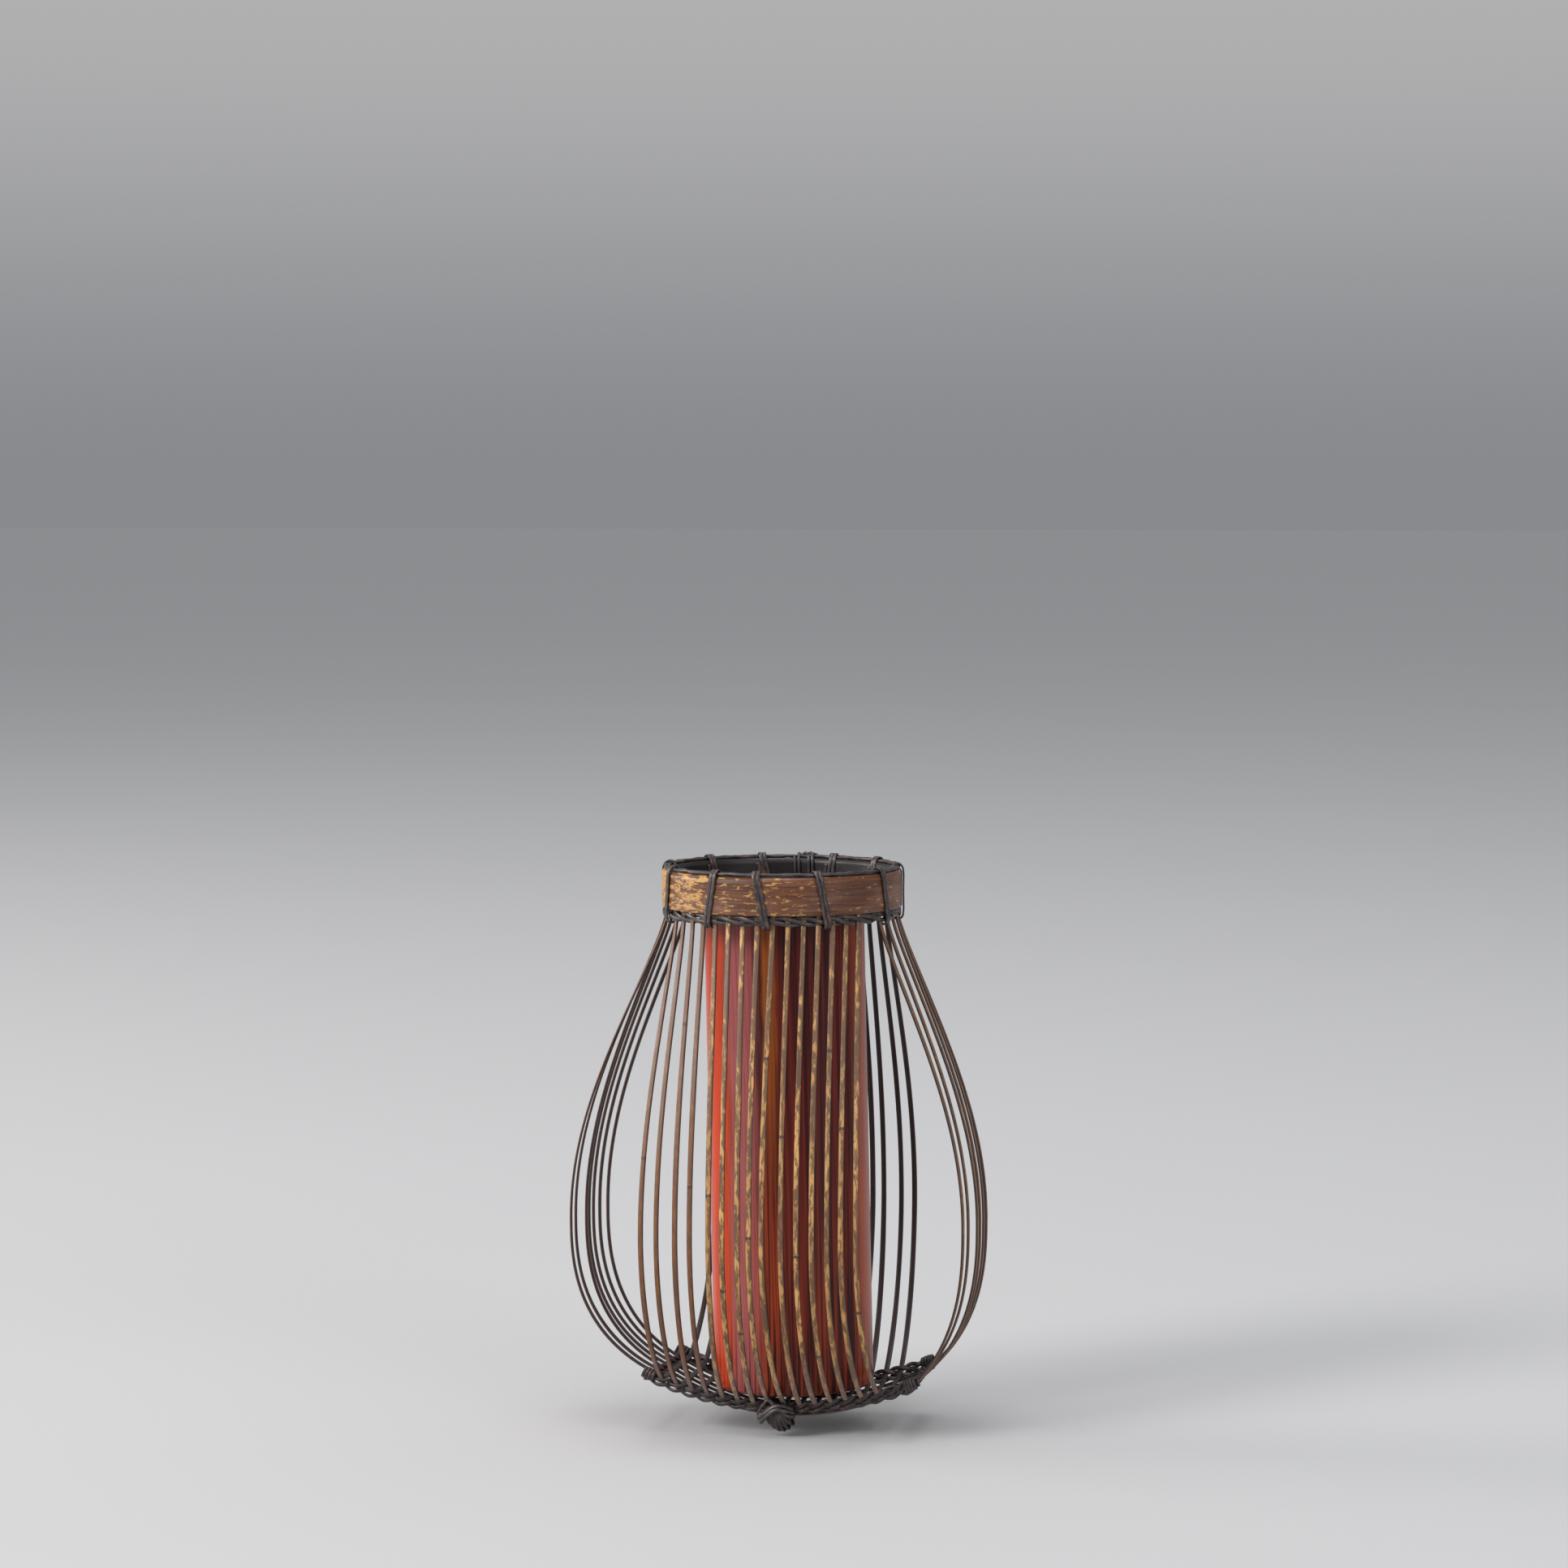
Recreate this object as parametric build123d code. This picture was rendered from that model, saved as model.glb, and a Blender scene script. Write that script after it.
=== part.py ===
from build123d import *
import os
from math import atan2, cos, degrees, radians, sin, sqrt

# A hanging basket of split bamboo with a loose bamboo water tube inside it.
# Millimetres. X points to the right of someone who faces the basket, Y away from them, Z up.
# A depth is measured down from the top edge of the rim band, on the rim's own axis, and an angle
# round the rim is measured from the front, positive towards the right.
# The last step moves everything so that the centre of the hanging ring is the origin.

# Strips
strip_width = 1.82
strip_thickness = 0.8
strip_angle = 7.5
front_back_each_side = 7
side_each_side = 3
layer_gap = 0.2
end_depth = 0.3

# Rim
hoop_outer_radius = 41.6
hoop_height = 13.3
hoop_thickness = 1.25
hoop_bevel_width = 0.9
hoop_bevel_height = 1.4
hoop_lower_bevel = 0.4
hoop_play = 0.1
inner_hoop_thickness = 1.35
inner_hoop_shortfall = 0.8
cap_cane = 1.1
cap_cane_step = 1.15

# Neck
neck_cane_depth = 15.1
neck_cane_half_height = 1.4
neck_cane_half_thickness = 0.5
neck_cane_gap = 0.2
neck_bend_start = 11.5
neck_bend_end = 20.0
neck_swell_share = 0.048
swell_power = 1.08

# Belly
belly_depth = 122.0
side_reach = 70.0
front_reach = 58.0
front_reach_drop = 4.0
belly_spacing = 5.25
side_spacing = 5.35
lower_side_power = 2.5
lower_front_power = 1.85
turn_power = 0.8

# Base, a slightly skewed rectangle that sags along the middle
base_half_depth = 22.4
base_spacing = 5.41
base_middle = 0.2
base_front_left = -41.6
base_front_right = 49.2
base_back_left = -40.3
base_back_right = 47.4
edge_corner_depth = 174.8
edge_sag = 8.6
keel_depth = 188.9
keel_middle = 5.0
keel_radius = 76.9
base_flat_power = 4

# Canes of the base edging
edge_cane_width = 2.0
edge_cane_thickness = 0.7
edge_outer_gap = 0.15
edge_inner_gap = 0.3
edge_overhang = 2.0
corner_outset = 0.4
side_edge_end_gap = 0.35

# Cane that is wound: rim lashings, corner lashings, knot and ties
lash_cane = 1.0
lash_gap = 0.55
lash_clearance = 0.3
lash_rise = 2.1
lash_slant = 2.8
lash_drop = 1.25
lash_turns = 2
lash_turn_shares = {
    "inside low": 0.1,
    "inside top": 0.35,
    "over": 0.5,
    "outside top": 0.65,
    "outside low": 0.9,
}
lash_angles = [3.75, 33.4, 71.5, 101.1, 139.2, 168.9, 198.6, 228.3, 266.4, 300.0, 334.1]
corner_cane = 0.85
corner_turns = 2
corner_half_height = 1.95
corner_half_thickness = 2.5

# Front knot, wound through three gaps between strips
knot_above_edge = 2.7
knot_below_edge = 8.9
knot_centre_out = 0.5
knot_outward = 3.6
knot_inward = 4.9
knot_gap_shares = [-0.5, 0.31, 0.585, 1.5]
knot_core_half_length = 4.6
knot_core_half_thickness = 1.9
knot_core_fillet = 1.6
knot_core_clearance = 0.4

# Hanging ring of cane, tied to the back of the rim
ring_radius = 7.0
ring_cane = 2.0
ring_depth = 6.0
ring_gap = 0.6
ring_tie_clearance = 0.7
ring_tie_angle = 3.75
ring_tie_turn_share = 0.8
ring_tie_way_share = 0.3

# Water tube, which leans a little and rests on the strips just above the base
tube_radius = 28.0
tube_wall = 3.5
tube_top_depth = 8.0
tube_top_middle = 0.6
tube_bottom_middle = 4.3
tube_floor = 4.0
tube_foot_recess = 8.0
tube_edge = 1.5
tube_seat_gap = 0.45
tube_floor_fillet = 3.0

# Each strip sits a little off its even place, as a hand-tied basket's strips do
front_sway_shares = [
    -0.14, -0.06, 0.21, 0.21, 0.47, 0.38, 0.39, 0.14, -0.03, 0.22, 0.21, 0.19, 0.16, 0.03, -0.02,
]
back_sway_shares = [
    0.10, -0.12, 0.08, -0.20, 0.15, 0.05, -0.18, 0.12, -0.05, 0.20, -0.10, 0.06, -0.15, 0.10, 0.05,
]
left_reach_shares = [1.023, 1.019, 0.984, 0.990, 0.987, 0.974, 0.951]
right_reach_shares = [0.951, 0.964, 0.996, 0.997, 1.001, 1.003, 0.986]

# Where the sections of a strip lie, as shares of each stretch of it
rim_shares = [0.0]
neck_shares = [0.0, 0.33, 0.66]
upper_shares = [0.0, 0.08, 0.18, 0.3, 0.43, 0.57, 0.7, 0.85]
lower_steps = 11
base_steps = 5
side_base_steps = 14
edge_steps = 12

# How a wound cane is drawn and measured
straight_share = 0.99999
same_way_limit = 1e-6
near_itself_diameters = 5
points_per_diameter = 3

# Worked out from the sizes above
hoop_inner_radius = hoop_outer_radius - hoop_thickness
strip_rim_radius = hoop_inner_radius - hoop_play - strip_thickness / 2
inner_hoop_outer_radius = strip_rim_radius - strip_thickness / 2 - hoop_play
inner_hoop_radius = inner_hoop_outer_radius - inner_hoop_thickness
layer_offset = (layer_gap + strip_thickness) / 2
neck_cane_offset = strip_thickness / 2 + neck_cane_gap + neck_cane_half_thickness
edge_outer_offset = (strip_thickness + edge_cane_thickness) / 2 + edge_outer_gap
edge_inner_offset = (strip_thickness + edge_cane_thickness) / 2 + edge_inner_gap
edge_middle = (base_front_left + base_back_left + base_front_right + base_back_right) / 4
edge_half_length = (base_front_right + base_back_right - base_front_left - base_back_left) / 4
ring_back_reach = hoop_outer_radius + lash_clearance + lash_cane + ring_gap + ring_cane / 2

os.makedirs("parts", exist_ok=True)


def placed(shape):
    """Moves a shape so that the hanging ring's centre is the origin."""
    return Pos(0, -ring_back_reach, ring_depth) * shape


def save(shape, name):
    export_step(placed(shape), f"parts/{name}.step")


def mix(start, end, share):
    return start + (end - start) * share


def at(x, y, depth):
    return Vector(x, y, -depth)


def neck_place(depth):
    """Radius of a side strip's middle where it leaves the rim."""
    return mix(strip_rim_radius, side_reach, swell(depth))


def edge_depth(x):
    """Depth of the base's front and back edges, which sag towards the middle."""
    share = (x - edge_middle) / edge_half_length
    return edge_corner_depth + edge_sag * (1 - share**2)


def edge_slope(x):
    return -2 * edge_sag * (x - edge_middle) / edge_half_length**2


def keel(x):
    """Depth of the middle line of the base, where its two layers of strips meet."""
    return keel_depth - (x - keel_middle) ** 2 / (2 * keel_radius)


def base_depth(x, y):
    """Depth of the face where the two layers meet, anywhere on the base."""
    rim_line = edge_depth(x) + layer_offset
    share = abs(y / base_half_depth) ** base_flat_power
    return rim_line + (keel(x) - rim_line) * (1 - share)


def base_across(x, y, side):
    """The way across a strip on the base, which follows the base's slope there."""
    step = side * (strip_width / 2)
    fall = base_depth(x + step.X, y + step.Y) - base_depth(x - step.X, y - step.Y)
    return (side * strip_width + at(0, 0, fall)).normalized()


def base_end(side, y):
    """X of the base's left or right edge at a place along it."""
    share = (y / base_half_depth + 1) / 2
    if side < 0:
        return mix(base_front_left, base_back_left, share)
    return mix(base_front_right, base_back_right, share)


def lower_depth_span(reach, end_reach, end_depth_below, power):
    """How deep the lower curve would go if it ran on to the middle."""
    return end_depth_below / (1 - (end_reach / reach) ** power) ** (1 / power)


def lower_curve(reach, end_reach, end_depth_below, power):
    """Reach and depth below the belly along the lower curve, from the belly to the base's edge."""
    span = lower_depth_span(reach, end_reach, end_depth_below, power)
    last = atan2(
        sqrt(1 - (end_reach / reach) ** power),
        sqrt((end_reach / reach) ** power),
    )
    places = []
    for k in range(1, lower_steps + 1):
        turn = last * k / lower_steps
        places.append((reach * cos(turn) ** (2 / power), span * sin(turn) ** (2 / power)))
    return places


def swell(depth):
    """Share of the way from the rim out to the belly, for a depth between the two."""
    if depth <= neck_bend_start:
        return 0
    if depth < neck_bend_end:
        return neck_swell_share * ((depth - neck_bend_start) / (neck_bend_end - neck_bend_start)) ** 2
    share = (depth - neck_bend_end) / (belly_depth - neck_bend_end)
    return mix(neck_swell_share, 1, sin(radians(90 * share**swell_power)))


def strip_end(angle, main, side, reach, sway, edge_reach, edge_side, edge_at, power):
    """Centre and across direction along one end of a strip, from its tip in the rim to the base."""
    out = Vector(sin(radians(angle)), -cos(radians(angle)), 0)
    round_rim = Vector(cos(radians(angle)), sin(radians(angle)), 0)
    if round_rim.dot(side) < 0:
        round_rim = -round_rim
    depths = [mix(end_depth, neck_bend_start, share) for share in rim_shares]
    depths += [mix(neck_bend_start, neck_bend_end, share) for share in neck_shares]
    depths += [mix(neck_bend_end, belly_depth, share) for share in upper_shares]
    depths += [belly_depth]
    rim_place = out * strip_rim_radius
    belly_place = main * reach + side * sway
    centres = [mix(rim_place, belly_place, swell(depth)) + at(0, 0, depth) for depth in depths]
    for out_by, down_by in lower_curve(reach, edge_reach, edge_at - belly_depth, power):
        share = (down_by / (edge_at - belly_depth)) ** 2
        centres.append(main * out_by + side * mix(sway, edge_side, share) + at(0, 0, belly_depth + down_by))
    return centres, round_rim


def across_at(centre, round_rim, flat_side, lowest):
    """A strip faces outwards at the rim and lies along the base's slope at the bottom."""
    share = max(0, (-centre.Z - neck_bend_start) / (lowest - neck_bend_start))
    share = min(1, share) ** turn_power
    return mix(round_rim, flat_side, share).normalized()


def ribbon(centres, across, width, thickness):
    """A flat strip through the given centres, turned to the given across directions."""
    sections = []
    for k, centre in enumerate(centres):
        before = centres[max(k - 1, 0)]
        after = centres[min(k + 1, len(centres) - 1)]
        if before == centre:
            ahead = after - centre
        elif after == centre:
            ahead = centre - before
        else:
            run_in = centre - before
            run_out = after - centre
            ahead = run_in / run_in.length**2 + run_out / run_out.length**2
        ahead = ahead.normalized()
        flat = (across[k] - ahead * across[k].dot(ahead)).normalized()
        sections.append(Plane(origin=centre, x_dir=flat, z_dir=ahead) * Rectangle(width, thickness))
    return loft(sections, ruled=True)


def front_back_strip(index):
    """One strip that runs from the front of the rim, under the base, to the back of the rim."""
    side = Vector(1, 0, 0)
    base_x = base_middle + base_spacing * index
    reach = front_reach - front_reach_drop * (index / front_back_each_side) ** 2
    edge_at = base_depth(base_x, base_half_depth) - layer_offset
    halves = []
    for front in (True, False):
        sway_shares = front_sway_shares if front else back_sway_shares
        sway = belly_spacing * (index + sway_shares[index + front_back_each_side])
        angle = strip_angle * index if front else 180 - strip_angle * index
        main = Vector(0, -1, 0) if front else Vector(0, 1, 0)
        centres, round_rim = strip_end(
            angle, main, side, reach, sway, base_half_depth, base_x, edge_at, lower_front_power
        )
        flat_side = base_across(base_x, base_half_depth, side)
        across = [across_at(centre, round_rim, flat_side, edge_at) for centre in centres]
        for k in range(1, base_steps):
            y = main.Y * base_half_depth * (1 - k / base_steps)
            centres.append(at(base_x, y, base_depth(base_x, y) - layer_offset))
            across.append(base_across(base_x, y, side))
        halves.append((centres, across))
    middle = at(base_x, 0, base_depth(base_x, 0) - layer_offset)
    centres = halves[0][0] + [middle] + halves[1][0][::-1]
    across = halves[0][1] + [base_across(base_x, 0, side)] + halves[1][1][::-1]
    return ribbon(centres, across, strip_width, strip_thickness)


def side_strip(index):
    """One strip that runs from the left of the rim, under the base, to the right of the rim."""
    side = Vector(0, 1, 0)
    y = side_spacing * index
    halves = []
    for main_x in (-1, 1):
        main = Vector(main_x, 0, 0)
        shares = left_reach_shares if main_x < 0 else right_reach_shares
        reach = side_reach * shares[index + side_each_side]
        angle = main_x * (90 + strip_angle * index)
        edge_x = base_end(main_x, y)
        edge_at = base_depth(edge_x, y) + layer_offset
        centres, round_rim = strip_end(
            angle, main, side, reach, y, abs(edge_x), y, edge_at, lower_side_power
        )
        flat_side = base_across(edge_x, y, side)
        across = [across_at(centre, round_rim, flat_side, edge_at) for centre in centres]
        halves.append((centres, across))
    left = base_end(-1, y)
    right = base_end(1, y)
    middle_centres = []
    middle_across = []
    for k in range(1, side_base_steps):
        x = mix(left, right, k / side_base_steps)
        middle_centres.append(at(x, y, base_depth(x, y) + layer_offset))
        middle_across.append(base_across(x, y, side))
    centres = halves[0][0] + middle_centres + halves[1][0][::-1]
    across = halves[0][1] + middle_across + halves[1][1][::-1]
    return ribbon(centres, across, strip_width, strip_thickness)


def hoop(outer, inner, top, bottom, bevel_width, bevel_height, lower_bevel):
    """A ring whose outer edges are bevelled."""
    corners = [
        (inner, -top),
        (outer - bevel_width, -top),
        (outer, -top - bevel_height),
        (outer, -bottom + lower_bevel),
        (outer - lower_bevel, -bottom),
        (inner, -bottom),
    ]
    face = make_face(Plane.XZ * Polyline(*corners, close=True))
    return revolve(face, Axis.Z)


def cane_ring(radius, depth, half_thickness, half_height):
    """A cane bent to a ring round the rim's axis."""
    section = Plane.XZ * Pos(radius, -depth) * Ellipse(half_thickness, half_height)
    return revolve(section, Axis.Z)


def biarc(start, start_way, end, end_way):
    """Two arcs that leave one place in one direction and reach another in another."""
    chord = end - start
    both = start_way + end_way
    spread = 2 * (1 - start_way.dot(end_way))
    if spread < same_way_limit:
        reach = chord.dot(chord) / (2 * chord.dot(both))
    else:
        reach = (sqrt(chord.dot(both) ** 2 + spread * chord.dot(chord)) - chord.dot(both)) / spread
    first = start + start_way * reach
    last = end - end_way * reach
    joint = (first + last) / 2
    joint_way = (last - first).normalized()
    return [TangentArc(start, joint, tangent=start_way), TangentArc(joint, end, tangent=joint_way)]


def wound_cane(stations, diameter, name):
    """One unbroken cane through places that each have a direction, straight or on arcs between."""
    edges = []
    for k in range(len(stations) - 1):
        start, start_way = stations[k]
        end, end_way = stations[k + 1]
        run = (end - start).normalized()
        if min(run.dot(start_way), run.dot(end_way)) > straight_share:
            edges.append(Line(start, end))
        else:
            edges.extend(biarc(start, start_way, end, end_way))
    path = Wire([edge.edge() for edge in edges])
    least_bend = min(edge.edge().radius for edge in edges if edge.edge().geom_type == GeomType.CIRCLE)
    print(f"{name}: least bend {least_bend:.2f}, least gap to itself {least_gap(path, diameter):.2f}")
    section = Plane(origin=stations[0][0], z_dir=stations[0][1]) * Circle(diameter / 2)
    return sweep(section, path=path)


def least_gap(path, diameter):
    """The least clear space between turns, from points along the middle of the cane."""
    step = diameter / points_per_diameter
    count = int(path.length / step)
    points = [path @ (k / count) for k in range(count + 1)]
    skip = near_itself_diameters * points_per_diameter
    gaps = [
        (points[k] - points[m]).length - diameter
        for k in range(count + 1)
        for m in range(k + skip, count + 1)
    ]
    return min(gaps) if gaps else diameter


def rim_lashing(angle, turns, slant, tail, name):
    """A cane wound over the rim and under the neck cane, through one gap between strips.

    The tail lists extra places on its outer side, each with a radius, a depth and a direction.
    """
    out = Vector(sin(radians(angle)), -cos(radians(angle)), 0)
    beside = Vector(cos(radians(angle)), sin(radians(angle)), 0)
    down = Vector(0, 0, -1)
    half = lash_cane / 2
    pitch = lash_cane + lash_gap
    in_radius = inner_hoop_radius - lash_clearance - half
    out_top = hoop_outer_radius + lash_clearance + half
    out_low = neck_radius + neck_cane_offset + neck_cane_half_thickness + lash_clearance + half
    top = hoop_bevel_height / 2
    low = neck_cane_depth
    lowest = neck_cane_depth + neck_cane_half_height + lash_drop
    height = low - top

    def spot(radius, depth, turn):
        drift = pitch * (turn - (turns + 1) / 2)
        lift = min(1, max(0, (low - depth) / height))
        return out * radius + beside * (drift + slant * lift) + at(0, 0, depth)

    places = []
    for turn in range(turns):
        inside_low = spot(in_radius, low, turn + lash_turn_shares["inside low"])
        inside_top = spot(in_radius, top, turn + lash_turn_shares["inside top"])
        outside_top = spot(out_top, top, turn + lash_turn_shares["outside top"])
        outside_low = spot(out_low, low, turn + lash_turn_shares["outside low"])
        up_way = inside_top - inside_low
        places.append((inside_low, up_way))
        places.append((inside_top, up_way))
        over = spot(mix(in_radius, out_top, 0.5), -lash_rise, turn + lash_turn_shares["over"])
        places.append((over, out + beside * (pitch / lowest)))
        if tail:
            places.append((outside_top, down))
            for radius, depth, out_way, down_way in tail:
                spare = spot(radius, depth, turn + ring_tie_turn_share)
                places.append((spare, out * out_way + down * down_way))
        else:
            down_way = outside_low - outside_top
            places.append((outside_top, down_way))
            places.append((outside_low, down_way))
        under = spot(mix(in_radius, out_low, 0.5), lowest + half, turn + 1)
        places.append((under, beside * (pitch / lowest) - out))
    last_low = spot(in_radius, low, turns + lash_turn_shares["inside low"])
    places.append((last_low, -down))
    stations = [(place, way.normalized()) for place, way in places]
    return wound_cane(stations, lash_cane, name)


def edge_frame(front, x):
    """Place on the front or back edge of the base, the edge's way, the strips' way and the way out."""
    main = Vector(0, -1, 0) if front else Vector(0, 1, 0)
    place = main * base_half_depth + at(x, 0, edge_depth(x))
    along = Vector(1, 0, -edge_slope(x)).normalized()
    index = (x - base_middle) / base_spacing
    reach = front_reach - front_reach_drop * (index / front_back_each_side) ** 2
    below = edge_depth(x) - belly_depth
    span = lower_depth_span(reach, base_half_depth, below, lower_front_power)
    outer_slope = span / reach * (base_half_depth / reach * span / below) ** (lower_front_power - 1)
    inner_slope = base_flat_power * (keel(x) - edge_depth(x) - layer_offset) / base_half_depth
    slope = (outer_slope + inner_slope) / 2
    inward = (-main + at(0, 0, slope)).normalized()
    outward = along.cross(inward).normalized()
    if outward.Z > 0:
        outward = -outward
    return place, along, (inward - along * inward.dot(along)).normalized(), outward


def side_edge_frame(side, y):
    """The same for the left or right edge of the base, which crosses the other strips."""
    x = base_end(side, y)
    step = strip_width
    depth = base_depth(x, y) + layer_offset
    place = at(x, y, depth)
    along = at(base_end(side, y + step), y + step, base_depth(x, y + step)) - at(
        base_end(side, y - step), y - step, base_depth(x, y - step)
    )
    along = along.normalized()
    below = depth - belly_depth
    span = lower_depth_span(side_reach, abs(x), below, lower_side_power)
    outer_slope = span / side_reach * (abs(x) / side_reach * span / below) ** (lower_side_power - 1)
    inner_slope = abs(x - keel_middle) / keel_radius
    slope = (outer_slope + inner_slope) / 2
    inward = (Vector(-side, 0, 0) + at(0, 0, slope)).normalized()
    outward = along.cross(inward).normalized()
    if outward.Z > 0:
        outward = -outward
    return place, along, outward.cross(along).normalized(), outward


def edge_cane(frames, offset):
    """A flat cane that follows an edge of the base, off the strips by the given offset."""
    centres = [place + outward * offset for place, along, inward, outward in frames]
    across = [inward for place, along, inward, outward in frames]
    return ribbon(centres, across, edge_cane_width, edge_cane_thickness)


def corner_lashing(front, x, name):
    """A cane wound round both canes of the front or back edge where that edge ends."""
    place, along, inward, outward = edge_frame(front, x)
    middle = (edge_inner_gap - edge_outer_gap) / 2
    place = place - outward * middle
    pitch = corner_cane + lash_gap
    climb = pitch / (4 * corner_half_height + 2 * corner_half_thickness)
    stations = []
    for k in range(4 * corner_turns + 1):
        turn = radians(90 * k)
        drift = pitch * (k / 4 - corner_turns / 2)
        spot = inward * (corner_half_height * cos(turn)) + outward * (corner_half_thickness * sin(turn))
        way = outward * cos(turn) - inward * sin(turn) + along * climb
        stations.append((place + spot + along * drift, way.normalized()))
    return wound_cane(stations, corner_cane, name)


def knot_middle():
    """The middle of the knot, which hangs upright from the front edge of the base."""
    x = base_middle + base_spacing / 2
    depth = edge_depth(x) + (knot_below_edge - knot_above_edge) / 2
    return at(x, -base_half_depth - knot_centre_out, depth)


def front_knot():
    """A cane wound round the front edging, through gaps between strips."""
    along = Vector(1, 0, 0)
    outward = Vector(0, -1, 0)
    downward = Vector(0, 0, -1)
    middle = knot_middle()
    half = (knot_below_edge + knot_above_edge) / 2
    gaps = [base_middle + base_spacing * share for share in knot_gap_shares]

    def spot(x, down_by, out_by):
        return middle + downward * down_by + outward * out_by + along * (x - middle.X)

    stations = [(spot(gaps[0], half, 0), -outward)]
    for k, x in enumerate(gaps):
        stations.append((spot(x, 0, -knot_inward), -downward))
        stations.append((spot(x, -half, 0), outward))
        if k + 1 < len(gaps):
            step = gaps[k + 1] - x
            way = (downward * half + along * (step / 2)).normalized()
            stations.append((spot(x + step / 2, 0, knot_outward), way))
            stations.append((spot(gaps[k + 1], half, 0), -outward))
        else:
            stations.append((spot(x, 0, knot_outward), downward))
    return wound_cane(stations, lash_cane, "front_knot")


def front_knot_core():
    """The bunched cane under the knot's turns, a round-ended bundle."""
    out_by = knot_outward - lash_cane / 2 - knot_core_clearance - knot_core_half_thickness
    barrel = Cylinder(knot_core_half_thickness, 2 * knot_core_half_length)
    barrel = fillet(barrel.edges().filter_by(GeomType.CIRCLE), knot_core_fillet)
    return Pos(knot_middle() + Vector(0, -out_by, 0)) * Rot(0, 90, 0) * barrel


def water_tube():
    """A length of culm, open at the top, with the wall of its node as a floor near the foot."""
    mid_reach = front_reach
    below = edge_depth(base_middle) - belly_depth
    span = lower_depth_span(mid_reach, base_half_depth, below, lower_front_power)
    seat_reach = tube_radius - tube_edge / 2
    share = 1 - (seat_reach / mid_reach) ** lower_front_power
    seat_depth = belly_depth + span * share ** (1 / lower_front_power)
    seat_slope = span / mid_reach * (seat_reach / mid_reach * span / (seat_depth - belly_depth)) ** (
        lower_front_power - 1
    )
    lift = (strip_thickness / 2 + tube_seat_gap) * sqrt(1 + seat_slope**2)
    bottom_depth = seat_depth + tube_edge / 2 - lift
    height = bottom_depth - tube_top_depth
    bore = tube_radius - tube_wall
    outline = Polyline(
        (0, tube_foot_recess),
        (bore, tube_foot_recess),
        (bore, 0),
        (tube_radius - tube_edge, 0),
        (tube_radius, tube_edge),
        (tube_radius, height - tube_edge / 2),
        (tube_radius - tube_edge / 2, height),
        (bore, height),
        (bore, tube_foot_recess + tube_floor + tube_floor_fillet),
        (bore - tube_floor_fillet, tube_foot_recess + tube_floor),
        (0, tube_foot_recess + tube_floor),
        close=True,
    )
    body = revolve(make_face(Plane.XZ * outline), Axis.Z)
    lean = degrees(atan2(tube_top_middle - tube_bottom_middle, height))
    print(f"water_tube: foot at depth {bottom_depth:.2f}, height {height:.2f}, lean {lean:.2f} degrees")
    return Pos(tube_bottom_middle, 0, -bottom_depth) * Rot(0, lean, 0) * body


for index in range(-front_back_each_side, front_back_each_side + 1):
    save(front_back_strip(index), f"front_back_strip_{index + front_back_each_side + 1:02d}")

for index in range(-side_each_side, side_each_side + 1):
    save(side_strip(index), f"side_strip_{index + side_each_side + 1}")

save(
    hoop(
        hoop_outer_radius,
        hoop_inner_radius,
        0,
        hoop_height,
        hoop_bevel_width,
        hoop_bevel_height,
        hoop_lower_bevel,
    ),
    "outer_hoop",
)
save(
    hoop(
        inner_hoop_outer_radius,
        inner_hoop_radius,
        0,
        hoop_height - inner_hoop_shortfall,
        hoop_lower_bevel,
        hoop_lower_bevel,
        hoop_lower_bevel,
    ),
    "inner_hoop",
)

for name, step in (("capping_cane_outer", 0.5), ("capping_cane_inner", -0.5)):
    cap_radius = strip_rim_radius + step * cap_cane_step
    save(cane_ring(cap_radius, -cap_cane / 2, cap_cane / 2, cap_cane / 2), name)

neck_radius = neck_place(neck_cane_depth)
for name, side in (("neck_cane_outer", 1), ("neck_cane_inner", -1)):
    save(
        cane_ring(
            neck_radius + side * neck_cane_offset,
            neck_cane_depth,
            neck_cane_half_thickness,
            neck_cane_half_height,
        ),
        name,
    )

for number, angle in enumerate(lash_angles, start=1):
    # The lashings lean towards the middle of the front
    slant = -lash_slant if angle < 180 else lash_slant
    name = f"rim_lashing_{number:02d}"
    save(rim_lashing(angle, lash_turns, slant, [], name), name)

for front, side_name in ((True, "front"), (False, "back")):
    left_end = base_front_left if front else base_back_left
    right_end = base_front_right if front else base_back_right
    frames = [
        edge_frame(front, mix(left_end - edge_overhang, right_end + edge_overhang, k / edge_steps))
        for k in range(edge_steps + 1)
    ]
    save(edge_cane(frames, edge_outer_offset), f"base_cane_{side_name}_outer")
    save(edge_cane(frames, -edge_inner_offset), f"base_cane_{side_name}_inner")
    for end_x, outward_way, end_name in ((left_end, -1, "left"), (right_end, 1, "right")):
        name = f"corner_lashing_{side_name}_{end_name}"
        save(corner_lashing(front, end_x + outward_way * corner_outset, name), name)

for side, side_name in ((-1, "left"), (1, "right")):
    reach = base_half_depth - corner_half_height - corner_cane / 2 - side_edge_end_gap
    spans = [mix(-reach, reach, k / edge_steps) for k in range(edge_steps + 1)]
    frames = [side_edge_frame(side, y) for y in spans]
    save(edge_cane(frames, edge_outer_offset), f"base_cane_{side_name}_outer")
    save(edge_cane(frames, -edge_inner_offset), f"base_cane_{side_name}_inner")

save(front_knot(), "front_knot")
save(front_knot_core(), "front_knot_core")

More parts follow.
